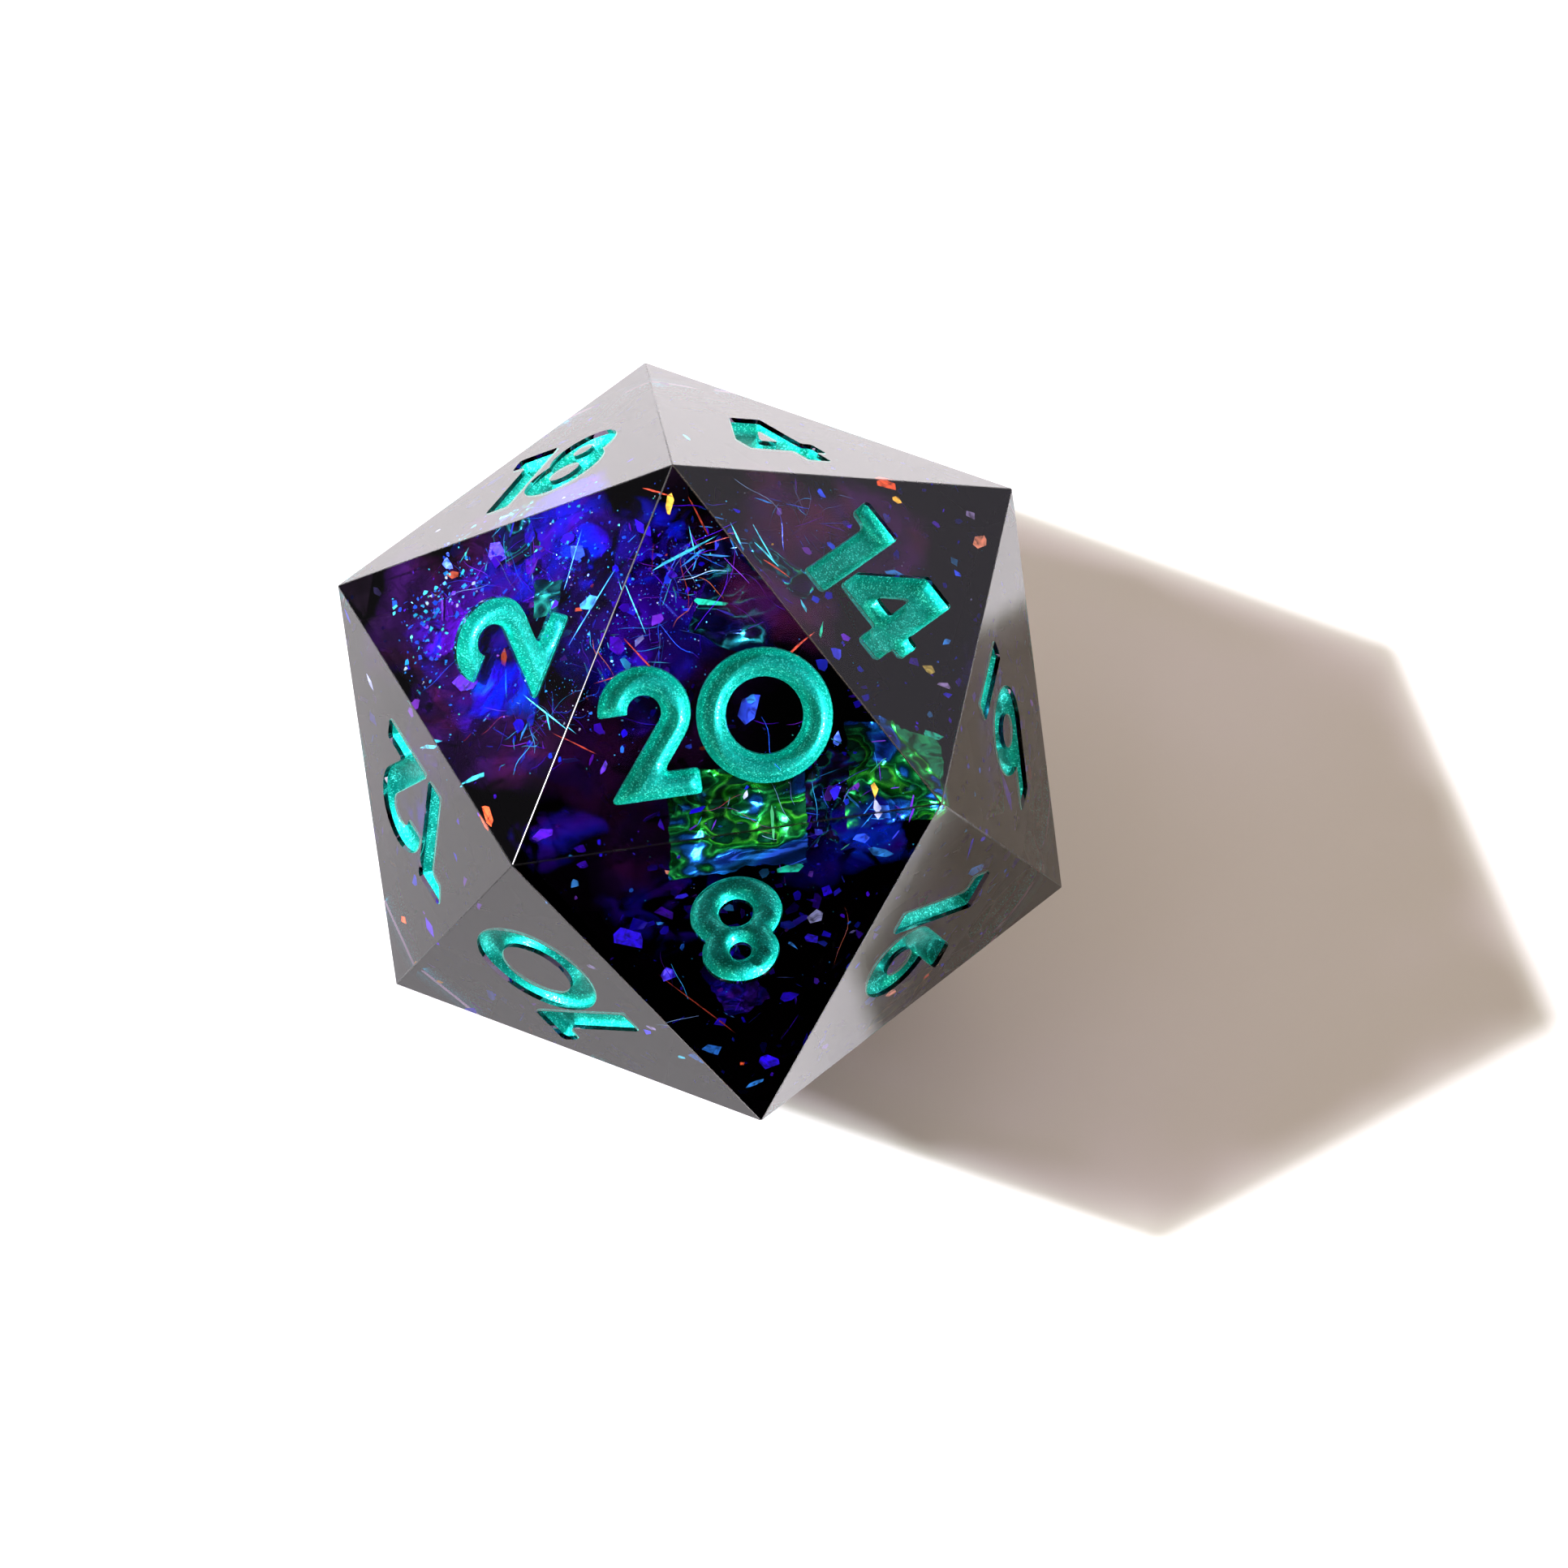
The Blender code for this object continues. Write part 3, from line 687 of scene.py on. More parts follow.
# Bands of colour, as stops: a place from 0 to 1, then red, green and blue.
# In the green, dusk and teal palettes the narrow bright bands are painted highlight lines; the other bands
# are the film's own colour.
FILM_PALETTES = {
    "green": (
        (0.26, 0, 0.02, 0.1), (0.36, 0.01, 0.08, 0.6), (0.41, 0.01, 0.22, 0.8), (0.44, 0, 0.04, 0.08),
        (0.48, 0, 0.2, 0.03), (0.5, 0.02, 0.65, 0.12), (0.52, 0, 0.08, 0.02), (0.565, 0, 0.28, 0.01),
        (0.585, 0.06, 0.75, 0.05), (0.61, 0, 0.07, 0.02), (0.7, 0, 0.2, 0.08),
    ),
    "dusk": (
        (0.25, 0.01, 0, 0.05), (0.38, 0.01, 0.01, 0.2), (0.44, 0, 0.02, 0.05), (0.465, 0.02, 0.55, 0.6),
        (0.49, 0, 0.02, 0.04), (0.55, 0.03, 0, 0.12), (0.58, 0.01, 0.1, 0.55), (0.6, 0.02, 0.65, 0.35),
        (0.62, 0, 0.02, 0.03), (0.74, 0.03, 0, 0.1),
    ),
    "plum": (
        (0.25, 0.008, 0.001, 0.02), (0.45, 0.022, 0.003, 0.055), (0.55, 0.036, 0.003, 0.038),
        (0.65, 0.016, 0.002, 0.07), (0.78, 0.008, 0.001, 0.02),
    ),
    "mauve": (
        (0.25, 0.03, 0.004, 0.07), (0.45, 0.08, 0.01, 0.14), (0.55, 0.11, 0.014, 0.08),
        (0.65, 0.07, 0.008, 0.16), (0.78, 0.03, 0.004, 0.07),
    ),
    "blue": (
        (0.25, 0.02, 0, 0.2), (0.42, 0.01, 0.04, 0.9), (0.54, 0.02, 0.2, 0.95), (0.62, 0.04, 0.6, 0.85),
        (0.74, 0.02, 0.02, 0.5),
    ),
    "deep_blue": (
        (0.3, 0.01, 0, 0.25), (0.44, 0, 0.01, 0.75), (0.52, 0.01, 0, 0.38), (0.6, 0, 0.05, 0.85),
        (0.72, 0.03, 0, 0.3),
    ),
    "violet": (
        (0.25, 0.01, 0, 0.08), (0.42, 0.04, 0.002, 0.4), (0.52, 0.006, 0.008, 0.55),
        (0.6, 0.06, 0.002, 0.36), (0.74, 0.03, 0, 0.14),
    ),
    "teal": (
        (0.3, 0, 0.02, 0.1), (0.44, 0, 0.1, 0.12), (0.5, 0.04, 0.85, 0.65), (0.54, 0, 0.08, 0.1),
        (0.62, 0.02, 0.55, 0.45), (0.66, 0, 0.03, 0.1),
    ),
    "gold": (
        (0.3, 0.35, 0.1, 0.03), (0.48, 0.8, 0.4, 0.05), (0.6, 0.85, 0.7, 0.15), (0.74, 0.2, 0.3, 0.08),
    ),
    "pink": (
        (0.3, 0.3, 0.02, 0.25), (0.48, 0.75, 0.12, 0.4), (0.6, 0.85, 0.35, 0.4), (0.74, 0.15, 0.03, 0.45),
    ),
}
FOLD_STRETCH = (0.45, 1.3, 1.0)
# How far a facet's slant shifts the film's bands, as a painted sheen.
PAINTED_SHEEN_TILT_SHARE = 0.30
BAND_START = 0.15
GRAIN_SHARE = 0.015
VEIL_EDGES = (0.44, 0.58)


def film_material(palette):
    """Crumpled iridescent film: colour bands that wander over it, and a painted sheen that shifts them from
    fold to fold with each facet's slant. The narrow bright bands of some palettes are painted highlight
    lines.
    """
    n = material_nodes(palette + "_film")
    wander = n.noise(FILM_BANDS, detail=1.6, distortion=1.2, stretch=FOLD_STRETCH)
    # Painted sheen: the bands shift with the slant of each facet.
    bands = n.math("ADD", wander, n.math("MULTIPLY", n.attribute("tilt"), PAINTED_SHEEN_TILT_SHARE))
    colour = n.ramp(n.math("SUBTRACT", bands, BAND_START), FILM_PALETTES[palette])
    roughness = n.ramp(wander, ((0.3, 0.16), (0.7, 0.30)))
    folds = n.noise(FILM_FOLDS, detail=1.5, distortion=1.4, stretch=FOLD_STRETCH)
    height = n.math("ADD", folds, n.math("MULTIPLY", n.noise(FINE_GRAIN), GRAIN_SHARE))
    normal = n.bump(height, strength=0.7, distance=0.50 * MM)
    return n.finish(n.principled(colour, roughness, normal, metallic=0.85))


def veil_material(palette, thinnest, thickest):
    """Film so thin that it is only a tinted haze, in soft-edged patches of thinnest to thickest."""
    n = material_nodes(palette + "_veil")
    colour = n.ramp(n.noise(VEIL_BANDS, detail=3.0, distortion=0.8), FILM_PALETTES[palette])
    patches = n.noise(VEIL_PATCHES, detail=6.0, distortion=1.5)
    density = n.map(patches, VEIL_EDGES, (thinnest, thickest))
    cover = n.math("MULTIPLY", density, n.attribute("fade"))
    roughness = n.ramp(patches, ((0.3, 0.30), (0.7, 0.45)))
    normal = n.bump(n.noise(VEIL_CREASES, distortion=1.5), strength=0.5, distance=0.08 * MM)
    haze = n.principled(colour, roughness, normal, metallic=0.4, specular=0.0)
    clear = n.add("BsdfTransparent", {"Color": grey(1.0)})
    return n.finish(n.add("MixShader", {0: cover, 1: clear, 2: haze}))


def flake_material(name, stops, roughness):
    """Each flake has one colour of its own, with a slight drift across it."""
    n = material_nodes(name)
    own = n.add("NewGeometry").outputs["Random Per Island"]
    drift = n.noise(FLAKE_DRIFT, detail=1.0)
    colour = n.multiply(n.ramp(own, stops, "CONSTANT"), n.mix(drift, grey(0.55), grey(1.3)))
    normal = n.bump(drift, strength=0.8, distance=0.06 * MM)
    return n.finish(n.principled(colour, roughness, normal, metallic=0.3))


def shard_material():
    """Each shard has the colour its mesh gives it, with lighter and darker streaks."""
    n = material_nodes("shard")
    streaks = n.noise(SHARD_STREAKS, distortion=2.0)
    shade = n.ramp(streaks, ((0.32, 0.25), (0.5, 1), (0.68, 1.5)))
    colour = n.multiply(n.attribute("tint", "Color"), shade)
    normal = n.bump(streaks, strength=0.4, distance=0.05 * MM)
    return n.finish(n.principled(colour, SHARD_ROUGHNESS, normal, metallic=0.25, specular=0.25))


# The colours of the small pieces, as stops like those of the film.
MIXED_STOPS = (
    (0, 0.01, 0, 0.8), (0.3, 0.06, 0, 0.7), (0.52, 0.01, 0.04, 0.9), (0.66, 0.02, 0.18, 0.9),
    (0.74, 0.1, 0, 0.45), (0.82, 0.04, 0.45, 0.85), (0.87, 0.14, 0.02, 0.4), (0.945, 0.48, 0.07, 0.02),
    (0.965, 0.7, 0.45, 0.05), (0.98, 0.2, 0.22, 0.5),
)
DUST_STOPS = (
    (0, 0.01, 0.1, 0.95), (0.35, 0.01, 0.35, 0.95), (0.62, 0.03, 0.65, 0.95), (0.8, 0.1, 0.01, 0.85),
    (0.88, 0.05, 0.85, 0.6), (0.92, 0.6, 0.85, 0.95),
)
FIBRE_STOPS = (
    (0, 0.01, 0.12, 0.95), (0.25, 0.08, 0, 0.8), (0.45, 0.03, 0.5, 0.95), (0.66, 0.2, 0.02, 0.65),
    (0.78, 0.3, 0.6, 0.95), (0.9, 0.42, 0.04, 0.02), (0.96, 0.48, 0.12, 0.03),
)
SPLINTER_STOPS = (
    (0, 0.04, 0.06, 0.85), (0.22, 0.03, 0.35, 0.9), (0.42, 0.16, 0.02, 0.65), (0.6, 0.05, 0.65, 0.75),
    (0.72, 0.1, 0.4, 0.8), (0.82, 0.12, 0.02, 0.5), (0.92, 0.06, 0.55, 0.2),
)
# The colours that the table of shards names.
SHARD_COLOURS = {
    "deep": (0.02, 0, 0.85), "blue": (0.02, 0.08, 0.9), "sky": (0.03, 0.3, 0.9), "ice": (0.06, 0.7, 0.9),
    "teal": (0.01, 0.75, 0.45), "violet": (0.05, 0, 0.42), "pearl": (0.36, 0.42, 0.7),
    "grey": (0.22, 0.18, 0.38), "ember": (0.85, 0.1, 0.02), "rust": (0.42, 0.05, 0.02),
    "coral": (0.8, 0.3, 0.18), "amber": (0.9, 0.5, 0.05), "olive": (0.5, 0.42, 0.08),
}


# -------------------- resin body

ROUND, FLAT, GROOVE = 0, 1, 2


def make_resin():
    """The icosahedron with rounded edges. Its flat faces are opened along the strokes' rims."""
    bm = bmesh.new()
    for point in CORNERS.values():
        bm.verts.new(CENTRE + point)
    bmesh.ops.convex_hull(bm, input=bm.verts)
    bmesh.ops.bevel(
        bm,
        geom=bm.edges[:],
        offset=EDGE_ROUNDING,
        segments=EDGE_SEGMENTS,
        profile=0.5,
        affect="EDGES",
        clamp_overlap=True,
    )
    kind = bm.faces.layers.int.new("kind")
    for number in FACES:
        open_face(bm, number, kind)
    bmesh.ops.remove_doubles(bm, verts=bm.verts, dist=WELD_DISTANCE)
    for vert in bm.verts:
        vert.co = [min(max(c, low), high) for c, low, high in zip(vert.co, *CAD_BOX)]
    bmesh.ops.recalc_face_normals(bm, faces=bm.faces)
    faces = resin_material("smoky_resin", FACE_POLISH)
    edges = resin_material("worn_resin_edge", EDGE_POLISH)
    body = new_object("resin", bm, [faces, edges])
    polish_edges(body.data)
    dress(body, "resin", "resin_body")


def open_face(bm, number, kind):
    """Replaces one flat face by its outline, the strokes' rims and the grooves below them."""
    matrix = face_matrix(number)
    inverse = matrix.inverted()
    flat = min(bm.faces, key=lambda f: (f.calc_center_median() - matrix.translation).length)
    outline = [(inverse @ v.co).to_2d() for v in flat.verts]
    bm.faces.remove(flat)
    strokes = [stroke for _, stroke in STROKES[number]]
    loops = [outline] + [loop for stroke in strokes for loop in stroke.loops]
    points, triangles = triangulated(loops)
    verts = [bm.verts.new(matrix @ Vector((*p, 0))) for p in points]
    for triangle in triangles:
        middle = middle_of(points, triangle)
        if not any(in_stroke(middle, stroke.loops) for stroke in strokes):
            bm.faces.new([verts[i] for i in triangle])[kind] = FLAT
    for stroke in strokes:
        heights = -stroke.ellipse(GROOVE_DEPTH)
        floor = [bm.verts.new(matrix @ Vector((*p, h))) for p, h in zip(stroke.points, heights)]
        for triangle in stroke.triangles:
            bm.faces.new([floor[i] for i in triangle])[kind] = GROOVE


def polish_edges(mesh):
    """Corner normals that leave the faces flat, the edges round and the grooves smooth inside."""
    kinds = [item.value for item in mesh.attributes["kind"].data]
    sums = {}
    for polygon in mesh.polygons:
        for vertex in polygon.vertices:
            key = (vertex, kinds[polygon.index])
            sums[key] = sums.get(key, Vector()) + polygon.normal
    normals = []
    for polygon in mesh.polygons:
        own = kinds[polygon.index]
        polygon.material_index = 1 if own == ROUND else 0
        for vertex in polygon.vertices:
            meets_flat = own == ROUND and (vertex, FLAT) in sums
            normals.append(sums[vertex, FLAT if meets_flat else own].normalized())
    mesh.shade_smooth()
    mesh.normals_split_custom_set(normals)
    mesh.attributes.remove(mesh.attributes["kind"])


# -------------------- paint


def make_paint():
    """One lining for each digit and underline."""
    material = paint_material()
    for number, pieces in STROKES.items():
        for name, stroke in pieces:
            make_lining(face_matrix(number), name, stroke, material)


def make_lining(matrix, name, stroke, material):
    """Paint that is dished on top, and just into the resin underneath."""
    bm = bmesh.new()
    # The rim share runs from 1 at the stroke's outline to 0 inside; the paint uses it for a painted rim
    # highlight and painted shade in the middle.
    rim = bm.verts.layers.float.new("rim")
    painted_rim_shading = (1 - stroke.depths / RIM_HIGHLIGHT_AND_SHADE_WIDTH).clip(0, 1)
    top = -PAINT_RIM - stroke.ellipse(PAINT_DISH, PAINT_OVERLAP)
    bottom = -PAINT_SKIN - stroke.ellipse(GROOVE_DEPTH, PAINT_OVERLAP)
    bottom = np.minimum(bottom, top - PAINT_SKIN)
    places = list(stroke.points)
    for i, outward in enumerate(stroke.outward):
        places[i] = places[i] + outward * PAINT_OVERLAP
    sheets = []
    for heights in (top, bottom):
        sheets.append([bm.verts.new(matrix @ Vector((*p, h))) for p, h in zip(places, heights)])
        for vert, share in zip(sheets[-1], painted_rim_shading):
            vert[rim] = share
    upper, lower = sheets
    for triangle in stroke.triangles:
        bm.faces.new([upper[i] for i in triangle])
        bm.faces.new([lower[i] for i in reversed(triangle)])
    for a, b in closed_edges(stroke.loops):
        bm.faces.new((upper[a], lower[a], lower[b], upper[b]))
    bmesh.ops.recalc_face_normals(bm, faces=bm.faces)
    piece = new_object(name + "_lining", bm, [material], PAINT_SMOOTH)
    dress(piece, "numeral_paint", name)


# -------------------- film

# Each sheet: the face it lies under, its middle on that face, its depth, its turn about the face's
# normal and its two tilts in degrees, its length and width, all in millimetres, then its palette.
# The first twelve stand for the CAD film nodes of the same names.
SHEETS = {
    "film_green_front": (20, (0.4, -3.5), 1.0, (-4, 6, -4), (4.7, 3.5), "green"),
    "film_blue_top": (20, (1.6, 3.4), 1.4, (60, 12, 10), (3.4, 3.0), "dusk"),
    "film_green_right": (20, (5.8, -2.7), 1.1, (-8, 8, -14), (3.8, 3.2), "green"),
    "film_purple_right": (14, (-2.5, -1.8), 2.0, (75, 8, -12), (3.0, 1.8), "plum"),
    "film_violet_left": (2, (1.2, 1.4), 1.8, (20, -6, 8), (3.2, 2.4), "violet"),
    "film_blue_front": (8, (0.3, 3.0), 2.0, (-70, 12, 0), (2.4, 1.6), "violet"),
    "film_violet_side": (12, (0.2, -1.2), 2.2, (40, 0, 10), (3.0, 2.0), "violet"),
    "film_teal_side": (6, (0.0, 0.6), 2.0, (-35, 8, 0), (3.0, 2.0), "violet"),
    "film_gold_back": (3, (0.2, -0.8), 1.8, (15, -8, 6), (3.4, 2.2), "gold"),
    "film_green_back": (7, (-0.1, 0.4), 1.8, (-50, 6, 8), (3.6, 2.4), "green"),
    "film_pink_back": (13, (0.6, 0.4), 1.8, (30, -6, -6), (3.2, 2.2), "pink"),
    "film_violet_base": (1, (0.2, 0.4), 2.0, (70, 5, 5), (4.0, 2.6), "violet"),
}
EXTRA_SHEETS = {
    "film_blue_fold": (20, (3.6, -3.0), 1.5, (50, 20, 0), (2.4, 2.0), "dusk"),
    "film_teal_fold": (20, (2.9, 4.3), 1.3, (-50, 20, 0), (2.6, 1.2), "dusk"),
    "film_blue_corner": (2, (3.4, 2.0), 1.5, (50, 10, 0), (2.0, 1.4), "dusk"),
    "film_teal_two": (2, (1.7, -0.6), 0.9, (20, 10, 10), (1.3, 1.1), "teal"),
}
# Each veil: as a sheet, and then how dense it is where thinnest and where thickest.
VEILS = {
    "veil_plum_left": (2, (-0.2, 0.6), 2.2, (10, 2, 3), (9.6, 7.6), "plum", (0.7, 1.0)),
    "veil_plum_corner": (2, (0.0, 4.6), 1.6, (0, 2, -3), (4.4, 5.0), "plum", (0.6, 1.0)),
    "veil_violet_left": (2, (2.9, 0.6), 1.5, (-30, -4, 5), (7.0, 4.2), "violet", (0.4, 1.0)),
    "veil_violet_low": (2, (-0.3, 1.9), 1.7, (60, 4, -5), (5.4, 4.6), "violet", (0.1, 0.8)),
    "veil_blue_patch": (2, (-1.5, -0.4), 0.9, (-78, 4, -4), (3.3, 2.2), "deep_blue", (0.5, 1.0)),
    "veil_blue_high": (2, (3.7, -1.4), 1.2, (60, 4, -4), (3.0, 2.2), "deep_blue", (0.0, 0.6)),
    "veil_violet_top": (20, (-1.6, 3.2), 1.8, (40, -6, 5), (6.6, 5.4), "violet", (0.2, 0.8)),
    "veil_blue_top": (20, (-0.9, 5.6), 1.5, (70, -6, 5), (3.0, 2.4), "deep_blue", (0.0, 0.8)),
    "veil_plum": (20, (-1.6, -1.4), 2.1, (15, 3, 3), (8.0, 7.0), "plum", (0.3, 0.8)),
    "veil_plum_high": (20, (0.6, 3.2), 2.2, (15, 4, 3), (6.0, 6.4), "plum", (0.4, 0.9)),
    "veil_mauve": (14, (-2.4, -1.7), 1.1, (35, 5, -6), (4.6, 6.4), "mauve", (0.3, 0.8)),
    "veil_mauve_top": (14, (-1.0, 1.7), 0.9, (-50, -5, 6), (4.4, 4.2), "mauve", (0.3, 0.8)),
    "veil_blue_front": (8, (-4.7, -2.5), 1.2, (10, 5, 5), (3.8, 2.6), "deep_blue", (0.0, 0.6)),
    "veil_blue_under": (8, (-2.9, -1.8), 1.4, (60, 5, 5), (2.8, 2.0), "violet", (0.1, 0.7)),
    "veil_violet_front": (8, (1.9, -0.9), 1.6, (30, 5, 5), (4.6, 3.6), "violet", (0.0, 0.7)),
    "veil_violet_edge": (8, (5.3, -4.4), 1.2, (30, 5, 5), (3.4, 2.2), "violet", (0.0, 0.5)),
    "veil_six": (6, (0.2, -0.6), 1.4, (60, 4, 4), (5.6, 3.4), "violet", (0.0, 0.6)),
    "veil_sixteen": (16, (0.6, 0.6), 1.6, (20, 4, 4), (5.6, 3.4), "violet", (0.0, 0.5)),
    "veil_twelve": (12, (0.6, 0.4), 1.4, (80, 4, 4), (5.6, 3.4), "violet", (0.0, 0.5)),
    "veil_back": (7, (0.4, -0.6), 1.5, (10, 4, 4), (6.0, 4.4), "violet", (0.0, 0.5)),
    "veil_back_low": (13, (-0.8, -0.4), 1.5, (70, 4, 4), (6.0, 4.4), "blue", (0.0, 0.45)),
    "veil_back_high": (3, (-0.6, 0.6), 1.5, (40, 4, 4), (6.0, 4.4), "violet", (0.0, 0.45)),
}
SHEET_THICKNESS = 0.02 * MM
SHEET_CLEARANCE = 0.35 * MM
FADE_SHARE = 0.32
WALL_FADE = 0.6 * MM
SLIVER = 0.02
# How each kind is crumpled: the size of its cells, its creases as (spacing, height), how far
# they wander, and the angle above which an edge stays sharp.
CRUMPLED = (0.16 * MM, ((2.6, 0.17), (1.5, 0.09), (0.9, 0.03)), 0.12 * MM, 30)
GENTLE = (0.40 * MM, ((4.1, 0.10), (2.3, 0.05)), 0.10 * MM, 25)
# How a scrap is torn: how likely a side is to have a nick in its middle, how far out the corners and
# the nicks lie, as shares of the full size, and how far the edge jogs and steps, in cells.
NICK_CHANCE = 0.6
CORNER_PULL = (0.9, 1.0)
NICK_PULL = (0.86, 1.0)
JOG = 0.35
EDGE_STEP = 1.2
CELL_RANGE = (0.2, 0.8)
FOLD_SPREAD = (0.8, 1.3)
FOLD_WAVES = 2.1
FOLD_TURNS = 9
PAINTED_SHEEN_DIRECTION = Vector((0.7, 0.7, 0))
FIRST_VEIL_SEED = 50
FACE_FRAMES = [(face_matrix(number).inverted(), face_matrix(number)) for number in FACES]


def crease_height(x, y, creases, wander):
    """A height made of folds: the sum of zigzags that run in several directions and wander."""
    height = 0.0
    for direction, period, phase, amount in creases:
        along = x * math.sin(direction) - y * math.cos(direction)
        across = x * math.cos(direction) + y * math.sin(direction)
        across += wander * math.sin(along / period * FOLD_WAVES + phase * FOLD_TURNS)
        run = across / period + phase
        height += amount * (4 * abs(run - math.floor(run) - 0.5) - 1)
    return height


def torn_outline(rng, length, width, cell):
    """A torn scrap's outline: an uneven oblong whose sides are nicked here and there."""
    tips = []
    for x, y in ((-0.5, -0.5), (0.5, -0.5), (0.5, 0.5), (-0.5, 0.5)):
        tips.append(Vector((x * length, y * width)) * rng.uniform(*CORNER_PULL))
        middle = Vector(((x - y) / 2 * length, (x + y) / 2 * width))
        if rng.random() < NICK_CHANCE:
            tips.append(middle * rng.uniform(*NICK_PULL))
    outline = []
    for tip, following in zip(tips, tips[1:] + tips[:1]):
        parts = max(1, round((following - tip).length / cell / EDGE_STEP))
        side = (following - tip).normalized()
        for k in range(parts):
            jog = 0 if k == 0 else rng.uniform(-JOG, JOG) * cell
            outline.append(tip.lerp(following, k / parts) + Vector((-side.y, side.x)) * jog)
    return outline


def drawn_creases(rng, folds):
    """Two runs of folds for each kind, as (direction, spacing, phase, height)."""
    creases = []
    for period, amount in folds:
        for _ in range(2):
            spread = rng.uniform(*FOLD_SPREAD)
            creases.append((rng.uniform(0, math.pi), period * MM * spread, rng.random(), amount * MM))
    return creases


def inner_points(rng, outline, length, width, cell):
    """One point in each cell of the oblong, where that is inside the outline."""
    inner = []
    for i in range(math.ceil(length / cell)):
        for j in range(math.ceil(width / cell)):
            x = (i + rng.uniform(*CELL_RANGE)) * cell - length / 2
            y = (j + rng.uniform(*CELL_RANGE)) * cell - width / 2
            if is_inside(Vector((x, y)), outline):
                inner.append(Vector((x, y)))
    return inner


def make_sheet(name, spec, seed, material, manner):
    """A scrap of film with creases, a torn edge and a real thickness."""
    number, middle, depth, turns, size = spec[:5]
    cell, folds, wander, sharp = manner
    rng = random.Random(seed)
    length, width = size[0] * MM, size[1] * MM
    creases = drawn_creases(rng, folds)
    outline = torn_outline(rng, length, width, cell)
    points, triangles = triangulated([outline], inner_points(rng, outline, length, width, cell))
    place = Matrix.Translation((middle[0] * MM, middle[1] * MM, -depth * MM))
    spin, tilt_x, tilt_y = (math.radians(t) for t in turns)
    turn = Matrix.Rotation(spin, 4, "Z") @ Matrix.Rotation(tilt_x, 4, "X") @ Matrix.Rotation(tilt_y, 4, "Y")
    to_world = face_matrix(number) @ place @ turn
    bm = bmesh.new()
    tilt = bm.verts.layers.float.new("tilt")
    fade = bm.verts.layers.float.new("fade")
    to_edge = distances(np.array(points), [outline])
    verts = []
    for p, nearest in zip(points, to_edge):
        point = to_world @ Vector((p.x, p.y, crease_height(p.x, p.y, creases, wander)))
        verts.append(bm.verts.new(kept_inside(point, SHEET_CLEARANCE)))
        to_wall = wall_distance(point) - SHEET_CLEARANCE
        verts[-1][fade] = max(0.0, min(1.0, nearest / (FADE_SHARE * width), to_wall / WALL_FADE))
    for a, b, c in triangles:
        doubled_area = (points[b] - points[a]).cross(points[c] - points[a])
        if abs(doubled_area) > SLIVER * cell**2:
            bm.faces.new((verts[a], verts[b], verts[c]))
    bmesh.ops.delete(bm, geom=[v for v in bm.verts if not v.link_faces], context="VERTS")
    bmesh.ops.recalc_face_normals(bm, faces=bm.faces)
    bm.normal_update()
    # The tilt attribute holds how far each point's normal leans to one side; the film uses it for a painted
    # sheen.
    lean_to = (to_world.to_3x3() @ PAINTED_SHEEN_DIRECTION).normalized()
    for vert in bm.verts:
        vert[tilt] = 0.5 + vert.normal.dot(lean_to)
    thicken(bm, (tilt, fade))
    return new_object(name + "_sheet", bm, [material], sharp)


def thicken(bm, layers):
    """Gives an open sheet a back face, and a rim along its outline."""
    rim = [edge for edge in bm.edges if edge.is_boundary]
    back = {}
    for vert in list(bm.verts):
        back[vert] = bm.verts.new(vert.co - vert.normal * SHEET_THICKNESS)
        for layer in layers:
            back[vert][layer] = vert[layer]
    for face in list(bm.faces):
        bm.faces.new([back[vert] for vert in reversed(face.verts)])
    for edge in rim:
        loop = edge.link_loops[0]
        a, b = loop.vert, loop.link_loop_next.vert
        bm.faces.new((b, a, back[a], back[b]))


def wall_distance(point):
    return min(-(inverse @ point).z for inverse, _ in FACE_FRAMES)


def kept_inside(point, clearance):
    """The point, moved inwards if it is nearer than the clearance to a face of the die."""
    for inverse, matrix in FACE_FRAMES:
        local = inverse @ point
        if local.z > -clearance:
            local.z = -clearance
            point = matrix @ local
    return point


def make_sheets():
    crumpled = {**SHEETS, **EXTRA_SHEETS}
    films = {palette: film_material(palette) for palette in sorted({spec[5] for spec in crumpled.values()})}
    for seed, (name, spec) in enumerate(crumpled.items()):
        piece = make_sheet(name, spec, seed, films[spec[5]], CRUMPLED)
        nodes = [name] if name in SHEETS else []
        dress(piece, "iridescent_film", *nodes)
    kinds = sorted({spec[5:7] for spec in VEILS.values()})
    veils = {kind: veil_material(kind[0], *kind[1]) for kind in kinds}
    for seed, (name, spec) in enumerate(VEILS.items(), FIRST_VEIL_SEED):
        piece = make_sheet(name, spec, seed, veils[spec[5:7]], GENTLE)
        dress(piece, "iridescent_film")


# -------------------- flakes, dust and fibres

HIDDEN_FACES = (3, 7, 13, 9, 11, 5, 15, 17, 19, 1)
